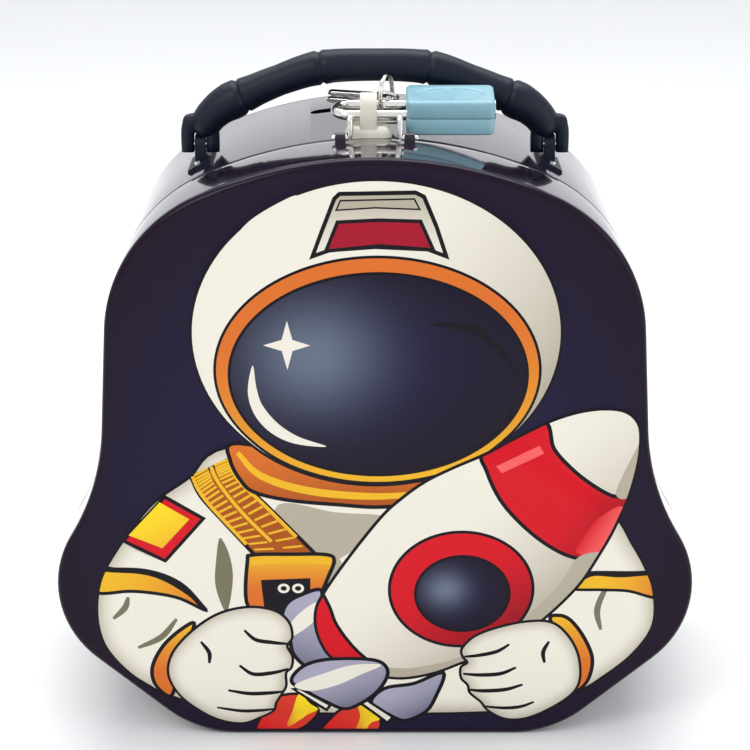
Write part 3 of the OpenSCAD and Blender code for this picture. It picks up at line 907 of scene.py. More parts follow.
    def tail(self) -> list:
        """Flames and upper fins."""
        made = []
        made += [Patch(curve((-30.5, 0.9), (-29.1, 5.5), (-27.3, 8.9), (-25.2, 11.3), (-19.6, 12),
                             (-16.4, 9.6), (-14.5, 7.2), (-15.7, 4.4), (-19, 1.6), (-24, 0.7)), Ink.FLAME,
                       0.8, Ink.RED, (-1, -1), 14), Patch(curve((-19.4, 12), (-16.6, 9.2), (-14.6, 7.4),
                                                                (-17.2, 5.8), (-19.4, 4), (-22.6, 2.2),
                                                                (-21.2, 6.6)), Ink.YELLOW, 0, Ink.ORANGE,
                                                          (-1, -0.4), 6), Patch(curve((-13.8, 0.8),
                                                                                      (-11.1, 4.9),
                                                                                      (-8.6, 7.5),
                                                                                      (-5, 9.4), (-1, 7.2),
                                                                                      (1.4, 4.4),
                                                                                      (0.4, 0.8),
                                                                                      (-7, 0.4)),
                                                                                Ink.FLAME, 0.8, Ink.RED,
                                                                                (-1, -1), 14),
                 Patch(curve((-4.4, 9.2), (-1.5, 6.9), (1.2, 4.4), (-1, 3.3), (-2.5, 1.3), (-5, 1.0),
                             (-3.8, 5)), Ink.YELLOW, 0, Ink.ORANGE, (-1, -0.4), 6)]
        made += [Patch(curve((-1, 9.6), (2.5, 13.6), (9.9, 15), (17.4, 18), (15.4, 11), (12.8, 6.5),
                             (7.7, 3.9), (3.2, 6)), Ink.LILAC, 1.0, Ink.STEEL, (0.7, -1), 10),
                 Patch(curve((-23.4, 33), (-22.2, 37.2), (-18.6, 39.6), (-13.6, 41), (-13.6, 36),
                             (-13.4, 30), (-11, 22), (-16.5, 19.4), (-20.6, 23.2), (-21.6, 28)), Ink.LILAC,
                       1.0, Ink.STEEL, (-0.3, -1), 16), Patch(curve((-22, 30.6), (-19, 34.6),
                                                                    (-14.6, 37.6), (-14.8, 33.4),
                                                                    (-18, 30), (-21.8, 28)), Ink.CREAM, 0)]
        return made

    def markings(self, in_hull: np.ndarray) -> list:
        """Red base and nose bands, port with a painted highlight on its ball, and lower fin.

        Args:
            in_hull: Loop that cuts off what passes the rocket's line.

        Returns:
            The areas.
        """
        made = []
        made += [Patch(curve((-14.4, 41.4), (-16.2, 36), (-15.6, 29), (-13.2, 22.4), (-8, 19), (-1, 16.6),
                             (6, 15.6), (1, 19.5), (-5, 25), (-9.6, 31.6), (-11.6, 37)), Ink.RED, 0.9,
                       Ink.DARK_RED, (0.3, -1), 14, in_hull), Patch(curve((40.9, 85.6), (27, 78.6),
                                                                          (27.6, 72.8), (31.6, 64.6),
                                                                          (38.6, 56.9), (45.8, 51.7),
                                                                          (52, 49.6), (57.2, 50), (61, 57),
                                                                          (63.8, 65), (58.7, 66.2),
                                                                          (53.6, 69.2), (48.6, 73.3),
                                                                          (44, 78.6)), Ink.RED, 1.0,
                                                                    Ink.DARK_RED, (0.9, -0.6), 16,
                                                                    in_hull),
                 Patch(straight((29.8, 74.4), (40.4, 79.4), (41.6, 77.4), (31.2, 72.6)), Ink.PALE_RED, 0,
                       clip=in_hull), Patch(curve((50, 51.6), (56.6, 51.6), (61.6, 62.8), (56, 61),
                                                  (52.6, 57)), Ink.PALE_RED, 0, Ink.RED, (-1, 0.6), 8,
                                            in_hull), Patch(curve((65.5, 80), (63.4, 66.4), (59.6, 66.6),
                                                                  (62.2, 74)), Ink.SHADE, 0, clip=in_hull),
                 Patch(curve((58, 50), (51, 50.4), (46.1, 42.6), (40.7, 36.5), (36, 32), (40, 28),
                             (50, 38)), Ink.SHADE, 0, clip=in_hull), Patch(curve((26, 24), (18, 21.4),
                                                                                 (9, 19.6), (0, 19.4),
                                                                                 (8, 14), (22, 18)),
                                                                           Ink.SHADE, 0, clip=in_hull)]
        port, ball = ellipse(*self.port, 72), ellipse(*self.ball, 60)
        # The ball's soft spots are a painted highlight on its dome: navy over the middle and pale blue at the
        # upper left
        made += [Patch(port, Ink.RED, 0.8, Ink.DARK_RED, (0.6, -1), 22), Patch(ball, Ink.VISOR, 0.7, painted_highlights=(
                     (20, 41, 9, 8, Ink.NAVY, 1.0), (17.6, 41.6, 5, 4.4, Ink.PAINTED_HIGHLIGHT, 0.8)))]
        # Lower fin with its nozzles
        made += [Patch(straight((-20.8, 13.4), (-19.2, 13.6), (-11.4, 8.8), (-12.4, 7.2)), Ink.CREAM, 0.8),
                 Patch(straight((-4.4, 10.0), (-2.6, 10.7), (4.6, 4.9), (3.2, 3.2)), Ink.CREAM, 0.8),
                 Patch(curve((-21.2, 15.4), (-19.4, 18.9), (-15, 21.2), (-7, 22.2), (0.2, 21.8), (3, 19.6),
                             (2.8, 16.2), (0.1, 12.2), (-4.4, 8.8), (-8, 7.6), (-12.2, 9.6),
                             (-16.8, 12.3)), Ink.LILAC, 1.0, Ink.STEEL, (0.4, -1), 12),
                 Patch(curve((-20.4, 14.6), (-12, 18.2), (-5, 20.4), (1.6, 20.5), (-4, 17.3), (-10, 14.4),
                             (-16.6, 12.9)), Ink.CREAM, 0)]
        return made

    def hands(self) -> list:
        """Cuffs, gloves and their fingers' lines."""
        made = []
        made += [Patch(curve((-45.6, 31.4), (-48.6, 30.4), (-53.6, 25.6), (-56.6, 19.5), (-55.9, 14.2),
                             (-52.3, 11), (-50.6, 16), (-49.4, 22)), Ink.ORANGE, 1.0, Ink.GOLD, (0, 1),
                       14), Patch(curve((44.2, 32.8), (46.3, 34), (49.4, 32.6), (53, 27.6), (55.2, 21.6),
                                        (54, 15.2), (50.6, 12.4), (49.6, 18), (48.6, 25)), Ink.ORANGE, 1.0,
                                  Ink.GOLD, (0, 1), 14), Patch(self.fist_left(), Ink.CREAM, 0.7, Ink.SHADE,
                                                               None, 3.4),
                 Patch(self.fist_right(), Ink.CREAM, 0.7, Ink.SHADE, None, 3.4)]
        for line in ([(-33, 30.2), (-30.2, 27.6), (-26, 26.8), (-22, 26.2)],
                     [(-34.4, 20.4), (-31, 18), (-26, 18.3), (-22, 19.2)],
                     [(-37.4, 13.4), (-32.2, 12.5), (-27, 12.6), (-23.6, 12.8)],
                     [(-40.4, 8.2), (-34.4, 7.2), (-29.3, 7.3), (-25.6, 7.6)],
                     [(22.6, 22.8), (26.3, 23.2), (30.8, 24.2), (34, 26.2)],
                     [(22.4, 17.8), (27, 17.6), (32, 18), (35.8, 19.7)], [(24, 13.3), (27.6, 13.1),
                                                                          (33.2, 13.5), (37.6, 14.9)],
                     [(28, 8.4), (33.3, 8), (37.3, 8.4), (40.6, 9.8)], [(-44, 27), (-42, 24), (-42, 21)],
                     [(44, 27), (42.6, 24), (43, 21)]):
            made.append(Patch(stripe(line, 1.1, 0.3), Ink.LINE, 0))
        return made

    def heights(self) -> list:
        """Raised areas of the face.

        Returns:
            Loop, height and run-in of each.
        """
        return [(ellipse(*self.helmet, 96), 1.2, 7.0), (self.suit(), 1.1, 6.0),
                (ellipse(*self.trim, 96), 0.35, 2.2), (ellipse(*self.visor, 96), 0.55, 12.0),
                (self.hull(), 0.75, 7.0), (ellipse(*self.ball, 60), 0.35, 5.0),
                (self.fist_left(), 0.7, 5.0), (self.fist_right(), 0.45, 5.0)]


@dataclass
class HeightField:
    """Smooth heights of the pressed face on a fine square grid."""

    drawing: Drawing
    step: float = 0.75
    top: float = 2.36

    def __post_init__(self) -> None:
        """Adds up the raised areas on the grid and softens the sum."""
        self.x = np.arange(-82, 82.1, self.step)
        self.z = np.arange(-2, 154.1, self.step)
        gx, gz = np.meshgrid(self.x, self.z)
        points = np.stack([gx.ravel(), gz.ravel()], -1)
        total = np.zeros(len(points))
        for k, (loop, height, run) in enumerate(self.drawing.heights()):
            near = inside(points, grown(loop, 0.1))
            t = np.zeros(len(points))
            t[near] = np.clip(depth_inside(points[near], loop) / run, 0, 1)
            # A quarter circle: steep at the edge and level at the run-in's end
            layer = height * np.sqrt(np.maximum(1 - (1 - t) ** 2, 0))
            # The helmet and the suit share one level, and the rest stands on them
            total = np.maximum(total, layer) if k < 2 else total + layer
        field = np.minimum(total, self.top).reshape(gx.shape)
        kernel = np.array([1, 4, 6, 4, 1]) / 16
        for _ in range(2):
            for axis in (0, 1):
                field = np.apply_along_axis(lambda row: np.convolve(row, kernel, "same"), axis, field)
        self.field = field
        self.slope_z, self.slope_x = np.gradient(field, self.step)

    def sample(self, grid: np.ndarray, points: np.ndarray) -> np.ndarray:
        """Value between a grid's four nearest points, in proportion.

        Args:
            grid: Values on the grid.
            points: Places (x, z).

        Returns:
            A value for each place.
        """
        fx = (points[:, 0] - self.x[0]) / self.step
        fz = (points[:, 1] - self.z[0]) / self.step
        i = np.clip(fx.astype(int), 0, len(self.x) - 2)
        j = np.clip(fz.astype(int), 0, len(self.z) - 2)
        u, v = fx - i, fz - j
        return ((grid[j, i] * (1 - u) + grid[j, i + 1] * u) * (1 - v)
                + (grid[j + 1, i] * (1 - u) + grid[j + 1, i + 1] * u) * v)


@dataclass
class Face:
    """The pressed and printed front with the hem that folds over the front band."""

    outline: Outline
    drawing: Drawing
    y_front: float = -41.0
    fillet: float = 1.6
    hem: float = 2.4
    tin: float = 0.6
    grid: float = 1.5

    def build(self, material: bpy.types.Material) -> bpy.types.Object:
        """Fills the outline with triangles that follow every printed edge.

        Args:
            material: Its finish.

        Returns:
            The face with its Ink attribute.
        """
        edge = self.outline.loop(self.fillet)
        field = HeightField(self.drawing)
        patches = self.drawing.patches()
        points, edges, start = [edge], loop_edges(0, len(edge)), len(edge)
        loops = []
        for p in patches:
            outer = grown(p.loop, p.line / 2) if p.line else p.loop
            inner = grown(p.loop, -p.line / 2) if p.line else p.loop
            loops.append((p, outer, inner))
            for loop in ((outer, inner) if p.line else (inner,)):
                points.append(loop)
                edges += loop_edges(start, len(loop))
                start += len(loop)
        gx, gz = np.meshgrid(np.arange(-79, 79.1, self.grid), np.arange(1, 150, self.grid))
        gx = gx + (np.arange(len(gz)) % 2)[:, None] * self.grid / 2
        lattice = np.stack([gx.ravel(), gz.ravel()], -1)
        lattice = lattice[inside(lattice, self.outline.loop(self.fillet + 0.5))]
        points.append(lattice)
        flat, tris = filled(np.concatenate(points), edges, 1e-4)
        tris = tris[inside(flat[tris].mean(1), edge)]
        middle = flat[tris].mean(1)
        colours = self.paint(flat, tris, middle, loops)
        height = field.sample(field.field, flat)
        verts = np.stack([flat[:, 0], np.full(len(flat), self.y_front) - height, flat[:, 1]], -1)
        # The hem: a quarter round from the face to the side, then straight back and in under its edge
        t = np.radians(np.linspace(0, 90, 7))
        section = [(self.fillet * (1 - math.sin(q)),
                    self.y_front + self.fillet * (1 - math.cos(q))) for q in t]
        section += [(0.0, self.y_front + self.hem), (self.tin, self.y_front + self.hem)]
        rim = self.outline.rings(section)
        rim_faces = grid_faces(len(section), rim.shape[1]).tolist()
        all_verts, all_faces = merged([(verts, tris), (rim.reshape(-1, 3), rim_faces)])
        obj = new_piece("printed_face", all_verts, all_faces, "front_shell", material,
                        ["front_panel"])
        plum = np.tile(Ink.PLUM.linear(), (4 * len(rim_faces), 1))
        layer = obj.data.color_attributes.new("Ink", "FLOAT_COLOR", "CORNER")
        layer.data.foreach_set("color", np.concatenate([colours.reshape(-1, 4),
                                                        plum]).astype(np.float32).ravel())
        slope_x, slope_z = field.sample(field.slope_x, flat), field.sample(field.slope_z, flat)
        normals = -np.stack([slope_x, np.ones(len(flat)), slope_z], -1)
        loop = self.outline.loop(0.0)
        along = np.roll(loop, -1, 0) - np.roll(loop, 1, 0)
        out = np.stack([-along[:, 1], along[:, 0]], -1)
        out /= np.hypot(*out.T)[:, None]
        angle = np.concatenate([t, [math.pi / 2, math.pi / 2]])
        rim_normals = np.stack([np.sin(angle)[:, None] * out[None, :, 0], np.repeat(-np.cos(angle)[:,
                                                                                                   None],
                                                                                    len(out), 1),
                                np.sin(angle)[:, None] * out[None, :, 1]], -1)
        both = np.concatenate([normals, rim_normals.reshape(-1, 3)])
        both /= np.linalg.norm(both, axis=1)[:, None]
        obj.data.normals_split_custom_set_from_vertices(both.tolist())
        log.info("face: %d triangles, %d patches", len(tris), len(patches))
        return obj

    def paint(self, flat: np.ndarray, tris: np.ndarray, middle: np.ndarray, loops: list) -> np.ndarray:
        """Colours each triangle from the frontmost area that holds its middle, and blends in the painted
        highlight spots.

        Args:
            flat: Points (x, z).
            tris: Triangles.
            middle: Their middles.
            loops: Areas with their outer and inner edges.

        Returns:
            A colour for each corner.
        """
        # An oval glow of navy on the plum ground, from 1 in its middle to 0 at its edge
        glow = np.clip(1 - np.hypot(flat[:, 0] / 78, (flat[:, 1] - 66) / 92), 0, 1)[:, None] ** 0.8
        ground = Ink.PLUM.linear() + glow * ((Ink.NAVY.linear() - Ink.PLUM.linear()) * 1.3)
        out = ground[tris]
        for p, outer, inner in loops:
            lo, hi = outer.min(0) - 0.5, outer.max(0) + 0.5
            near = np.flatnonzero(np.all((middle > lo) & (middle < hi), 1))
            if p.clip is not None:
                near = near[inside(middle[near], p.clip)]
            if p.line:
                held = near[inside(middle[near], outer)]
                out[held] = Ink.LINE.linear()
            held = near[inside(middle[near], inner)]
            base = np.tile(p.ink.linear(), (len(held) * 3, 1))
            if p.tint is not None and len(held):
                at = flat[tris[held]].reshape(-1, 2)
                if p.towards is None:
                    share = 1 - np.clip(depth_inside(at, inner) / p.reach, 0, 1)
                    share = 0.75 * share**1.6
                else:
                    way = np.array(p.towards, float) / math.hypot(*p.towards)
                    along = at @ way
                    share = np.clip(1 - ((inner @ way).max() - along) / p.reach, 0, 1)
                    share = share**1.5
                base = base + share[:, None] * (p.tint.linear() - p.ink.linear())
            at = flat[tris[held]].reshape(-1, 2)
            for x, z, wide, high, ink, strength in p.painted_highlights:
                # Painted highlight and painted reflection spot: a bell curve of the distance from the spot's
                # middle
                share = strength * np.exp(-(((at[:, 0] - x) / wide) ** 2) - ((at[:, 1] - z) / high) ** 2)
                base = base + share[:, None] * (ink.linear() - base)
            out[held] = base.reshape(-1, 3, 4)
        return out


# ---------------------------------------------------------------------------------------------- shells
@dataclass
class Shells:
    """The two bands and the back of the box."""

    outline: Outline
    y_front: float = -41.0
    y_seam: float = -18.0
    y_back: float = 41.0
    tin: float = 0.6
    gap: float = 0.3
    slot: tuple = (34.0, 5.0, 20.0)
    notch: float = 1.65

    def band(self, names: tuple, body: str, section: list, set_back: float,
             material: bpy.types.Material) -> bpy.types.Object:
        """Sweeps a closed section round the outline as one band.

        Args:
            names: Its name and the CAD node that it stands for.
            body: Body that it rides.
            section: Pairs of inset and y.
            set_back: Depth of the notch under the seam.
            material: Its finish.

        Returns:
            The band.
        """
        grid = notched(self.outline.rings(section), self.y_seam, set_back)
        faces = grid_faces(len(section), grid.shape[1], wrap_u=True)
        obj = new_piece(names[0], grid.reshape(-1, 3), faces, body, material, [names[1]])
        return sharpen(obj, 50)

    def front(self, material: bpy.types.Material) -> bpy.types.Object:
        """Front band, with its rolled edge at the seam.

        Args:
            material: Its finish.

        Returns:
            The band.
        """
        t, y = self.tin, self.y_seam - self.gap / 2
        section = [(0.62, self.y_front + 1.2), (0.05, self.y_front + 2.2), (0.0, self.y_front + 2.6),
                   (0.0, y - 2.0), (0.0, y - 0.4), (0.15, y - 0.08), (0.4, y), (0.62, y - 0.1),
                   (t + 0.1, y - 0.5), (t + 0.1, self.y_front + 1.2)]
        return self.band(("front_skirt", "front_band"), "front_shell", section, -self.notch, material)

    def back(self, material: bpy.types.Material) -> bpy.types.Object:
        """Back band with the coin slot cut through its top.

        Args:
            material: Its finish.

        Returns:
            The band.
        """
        t, y = self.tin, self.y_seam + self.gap / 2
        section = [(0.62, y + 0.1), (0.4, y), (0.15, y + 0.08), (0.0, y + 0.4), (0.0, y + 2.0),
                   (0.0, self.y_back - 2.6), (0.06, self.y_back - 2.2), (0.62, self.y_back - 1.2),
                   (t + 0.1, self.y_back - 1.2), (t + 0.1, y + 0.5)]
        obj = self.band(("back_skirt", "back_band"), "back_shell", section, self.notch, material)
        self.cut_slot(obj)
        return obj

    def cut_slot(self, obj: bpy.types.Object) -> None:
        """Cuts the coin slot with a round-ended prism, and leaves only the result.

        Args:
            obj: The back band.
        """
        length, width, y = self.slot
        loop = rounded_rect(length, width, width / 2 - 0.01, 10)
        rows = [np.column_stack([loop[:, 0], loop[:, 1] + y, np.full(len(loop), z)]) for z in (140.0, 160.0)]
        verts, faces = capped(np.array(rows))
        mesh = bpy.data.meshes.new("cutter")
        mesh.from_pydata((verts * MM).tolist(), [], faces)
        cutter = bpy.data.objects.new("cutter", mesh)
        bpy.context.scene.collection.objects.link(cutter)
        cut = obj.modifiers.new("slot", "BOOLEAN")
        cut.operation, cut.object, cut.solver = "DIFFERENCE", cutter, "EXACT"
        bpy.context.view_layer.update()
        done = bpy.data.meshes.new_from_object(obj.evaluated_get(bpy.context.evaluated_depsgraph_get()))
        obj.modifiers.clear()
        obj.data = done
        bpy.data.objects.remove(cutter)

    def rear(self, material: bpy.types.Material) -> bpy.types.Object:
        """Back panel, slightly sunk inside a pressed bead, with its hem.

        Args:
            material: Its finish.

        Returns:
            The panel.
        """
        yb = self.y_back
        section = [(0.62, yb - 2.4), (0.0, yb - 2.4), (0.0, yb - 1.6)]
        section += [(1.6 * (1 - math.cos(q)), yb - 1.6 * (1 - math.sin(q))) for q in np.radians([15, 35,
                                                                                                 55, 75,
                                                                                                 90])]
        section += [(8.0, yb), (9.0, yb - 0.25), (10.0, yb - 0.9), (11.0, yb - 1.15), (22.0, yb - 1.2)]
        grid = self.outline.rings(section)
        n = grid.shape[1]
        faces = grid_faces(len(section), n).tolist()
        verts = grid.reshape(-1, 3)
        mid = np.array([[0.0, yb - 1.2, 75.0]])
        last = (len(section) - 1) * n
        faces += [[last + k, last + (k + 1) % n, len(verts)] for k in range(n)]
        obj = new_piece("back_face", np.concatenate([verts, mid]), faces, "back_shell",
                        material, ["back_panel"])
        return sharpen(obj, 60)


# ---------------------------------------------------------------------------------------------- fittings
@dataclass
class Grip:
    """Folding handle moulded like a jointed cane, with a fork at each end."""

    pivot: tuple = (44.3, 0.0, 145.793)
    line: tuple = ((0.0, 20.2), (13.6, 19.5), (24.0, 16.3), (33.4, 12.3), (38.2, 9.9), (41.0, 7.6),
                   (42.6, 5.6))
    girth: tuple = ((0, 4.05), (5, 4.1), (11, 4.2), (13.0, 4.36), (14.2, 4.36), (17, 4.2), (24, 3.9),
                    (30, 4.1), (32.6, 4.4), (34.2, 4.75), (36.5, 4.85), (40, 4.35), (42.6, 4.0))
    grooves: tuple = ((13.6, 0.32, 0.55), (33.5, 0.4, 0.6))

    def build(self, material: bpy.types.Material) -> bpy.types.Object:
        """A bar of changing girth with a fork at each end.

        Args:
            material: Its finish.

        Returns:
            The handle.
        """
        right = np.array(self.line)
        both = np.concatenate([right[:0:-1] * np.array([-1, 1]), right])
        line = smooth_path(both, 14)
        path = np.stack([line[:, 0], np.zeros(len(line)), line[:, 1] + self.pivot[2]], -1)
        x = np.abs(path[:, 0])
        # Each stretch widens towards its ends, and a narrow groove parts it from the next
        radius = np.interp(x, *np.array(self.girth).T)
        for at, wide, deep in self.grooves:
            radius -= deep * np.exp(-(((x - at) / wide) ** 2))
        parts = [tube(path, radius, (0, 1, 0), 36)]
        for s in (-1, 1):
            parts.append(self.fork(s * self.pivot[0]))
        verts, faces = merged(parts)
        obj = new_piece("cane_grip", verts, faces, "handle", material, ["handle_grip"])
        return sharpen(obj, 50)

    def fork(self, x: float) -> tuple:
        """One fork: an arch of round-edged section over the pin.

        Args:
            x: Place of the pin.

        Returns:
            Points and faces.
        """
        w, leg, low, top = 4.8, 1.6, -2.0, 7.2
        outer = np.array([(-w, low), (-w, 3.0), (-4.5, 5.2), (-3.7, top), (0, 7.8), (3.7, top), (4.5, 5.2),
                          (w, 3.0), (w, low)])
        inner = np.array([(-leg, low), (-leg, 1.6), (-1.45, 2.6), (-0.9, 3.2), (0, 3.4), (0.9, 3.2),
                          (1.45, 2.6), (leg, 1.6), (leg, low)])
        outer, inner = smooth_path(outer, 4), smooth_path(inner, 4)
        side = [(0.5, -2.3), (0.22, -2.2), (0.06, -1.8), (0.0, -1.2), (0.0, 1.2), (0.06, 1.8), (0.22, 2.2),
                (0.5, 2.3)]
        edges = [(outer + (inner - outer) * share, y) for share, y in side]
        edges += [(inner + (outer - inner) * share, y) for share, y in side[::-1]]
        n, height = len(outer), self.pivot[2]
        rows = np.array([np.column_stack([e[:, 0] + x, np.full(n, y), e[:, 1] + height]) for e, y in edges])
        faces = grid_faces(len(rows), n, wrap_u=True, wrap_v=False).tolist()
        first = [k * n for k in range(len(rows))]
        faces += [first[::-1], [k + n - 1 for k in first]]
        # Round each prong's foot about the pin: points below the pin draw in as the circle does
        flat = rows.reshape(-1, 3)
        under = np.clip((self.pivot[2] - flat[:, 2]) / 2.3, 0, 0.98)
        flat[:, 1] *= np.sqrt(1 - under**2) * 0.75 + 0.25
        return flat, [f[::-1] for f in faces]


@dataclass
class Clasp:
    """Pressed staple, the wire bail over it and their small pieces."""

    x: float = -1.6
    base: tuple = (11.6, 6.8)
    y: tuple = (-17.05, -11.25)
    strap: tuple = (4.2, 0.8)
    top: float = 161.7
    dome_top: float = 151.0
    wire: float = 0.75
    bail_y: float = -21.5
    bail_z: float = 151.9
    arm: float = 6.1

    def staple(self, material: bpy.types.Material) -> bpy.types.Object:
        """Staple: a rounded foot and a hoop of strap over a half circle.

        Args:
            material: Its finish.

        Returns:
            The staple.
        """
        mid = sum(self.y) / 2
        w, d = self.base
        rows = []
        for inset, z in ((0.0, -1.2), (0.0, 1.0), (0.3, 1.7), (0.9, 2.3), (1.7, 2.7), (2.6, 2.85),
                         (3.1, 2.85)):
            loop = rounded_rect(w - 2 * inset, d - 2 * inset, max(2.4 - inset, 0.3), 10)
            rows.append(np.column_stack([loop[:, 0] + self.x, loop[:, 1] + mid,
                                         np.full(len(loop), self.dome_top + z)]))
        parts = [capped(np.array(rows))]
        r = (self.y[1] - self.y[0]) / 2 - self.strap[1] / 2
        a = np.radians(np.linspace(180, 0, 21))
        hoop = np.column_stack([mid + r * np.cos(a), self.top - self.strap[1] / 2 - r + r * np.sin(a)])
        low = self.dome_top + 1.3
        line = np.concatenate([[[mid - r, low]], [[mid - r, low + 3]], hoop, [[mid + r, low + 3]],
                               [[mid + r, low]]])
        step = np.gradient(line, axis=0)
        nrm = np.stack([-step[:, 1], step[:, 0]], -1) / np.hypot(*step.T)[:, None]
        half, th = self.strap[0] / 2, self.strap[1] / 2
        cross = rounded_rect(2 * half, 2 * th, 0.36, 5)
        columns = []
        for across, out in cross:
            moved = line + nrm * out
            columns.append(np.column_stack([np.full(len(line), self.x + across), moved]))
        parts.append(capped(np.stack(columns, 1)))
        verts, faces = merged(parts)
        return sharpen(new_piece("hasp_staple", verts, faces, "back_shell", material,
                                 ["staple"]), 40)

    def bail(self, material: bpy.types.Material) -> bpy.types.Object:
        """Bent wire, mirrored about the middle.

        Args:
            material: Its finish.

        Returns:
            The wire.
        """
        z, y, a = self.bail_z, self.bail_y, self.arm
        low = self.dome_top + 1.6 + 0.3 + self.wire
        half = [(0.0, -9.75, low), (a - 1.6, -9.75, low), (a - 0.2, -10.2, low), (a, -11.6, low),
                (a, -17.2, low + 0.1), (a, -18.8, low + 0.8), (a, y + 1.4, low + 2.9),
                (a, y + 0.6, low + 3.0), (a, y + 0.1, low + 2.2), (a, y, z + 1.3), (a + 0.3, y, z + 0.2),
                (a + 1.2, y, z), (a + 4.0, y, z)]
        right = np.array(half, float)
        both = np.concatenate([right[:0:-1] * np.array([-1, 1, 1]), right])
        path = smooth_path(both, 6)
        verts, faces = tube(path, self.wire, (0.12, 0.25, 1.0), 14)
        return new_piece("bail_wire", verts, faces, "bail", material, ["wire_bail"])


@dataclass
class Padlock:
    """Small padlock with a pale jacket in two halves, lying on its side, with a ring and two keys."""

    origin: tuple = (0.0, -14.15, 156.05)
    tilt: float = 10.0
    x0: float = 7.7
    length: float = 21.8
    mid: float = 3.45
    width: float = 12.6
    half: float = 4.4
    bar: float = 1.3
    bend_x: float = -6.2
    spread: float = 6.9

    def place(self, points: np.ndarray) -> np.ndarray:
        """Moves points of the padlock's own frame into the box's."""
        return turned(np.asarray(points, float), 0, self.tilt) + np.array(self.origin)

    def cover(self, side: int, material: bpy.types.Material) -> bpy.types.Object:
        """Half of the jacket; the upper one has a sunken oval on its outer side.

        Args:
            side: +1 for the upper half and -1 for the lower.
            material: Its finish.

        Returns:
            The half.
        """
        rows, n = [], 12
        levels = [(0.45, 0.05), (0.12, 0.12), (0.0, 0.4), (0.0, self.half - 0.8)]
        levels += [(0.8 * (1 - math.cos(q)), self.half - 0.8 * (1 - math.sin(q))) for q in np.radians([18,
                                                                                                       36,
                                                                                                       54,
                                                                                                       72,
                                                                                                       90])]
        for inset, z in levels:
            rows.append((rounded_rect(self.length - 2 * inset, self.width - 2 * inset,
                                      max(1.7 - inset, 0.9), n), z))
        oval = [(8.6, 4.3, self.half), (8.2, 3.95, self.half - 0.1), (7.9, 3.7, self.half - 0.38),
                (6.0, 2.6, self.half - 0.42), (0.2, 0.1, self.half - 0.42)]
        if side < 0:
            oval = [(8.6, 4.3, self.half), (0.2, 0.1, self.half)]
        a = np.concatenate([np.linspace(k * math.pi / 2, (k + 1) * math.pi / 2, n) for k in range(4)])
        for p, q, z in oval:
            rows.append((np.stack([p * np.cos(a), q * np.sin(a)], -1), z))
        cx = self.x0 + self.length / 2
        stack = [np.column_stack([e[:, 0] + cx, e[:, 1] + self.mid, np.full(len(e), side * z)]) for e,
                 z in rows]
        points, faces = capped(np.array(stack), flip=side < 0)
        name, node = ("jacket_upper", "cover_upper") if side > 0 else ("jacket_lower", "cover_lower")
        obj = new_piece(name, self.place(points), faces, "lock_body", material, [node])
        return sharpen(obj, 40)

    def shackle(self, material: bpy.types.Material) -> bpy.types.Object:
        """Shackle: two legs and a half-round bend.

        Args:
            material: Its finish.

        Returns:
            The shackle.
        """
        r = self.spread / 2
        a = np.radians(np.linspace(-90, -270, 25))
        bend = np.column_stack([self.bend_x + r * np.cos(a), r + r * np.sin(a), np.zeros(len(a))])
        path = np.concatenate([[[self.x0 + 5, 0, 0], [self.x0 - 0.2, 0, 0], [0, 0, 0]], bend,
                               [[0, self.spread, 0], [self.x0 - 0.2, self.spread, 0],
                                [self.x0 + 12, self.spread, 0]]])
        verts, faces = tube(path, self.bar, (0, 0, 1), 24)
        return new_piece("shackle_bar", self.place(verts), faces, "shackle", material, ["shackle"])


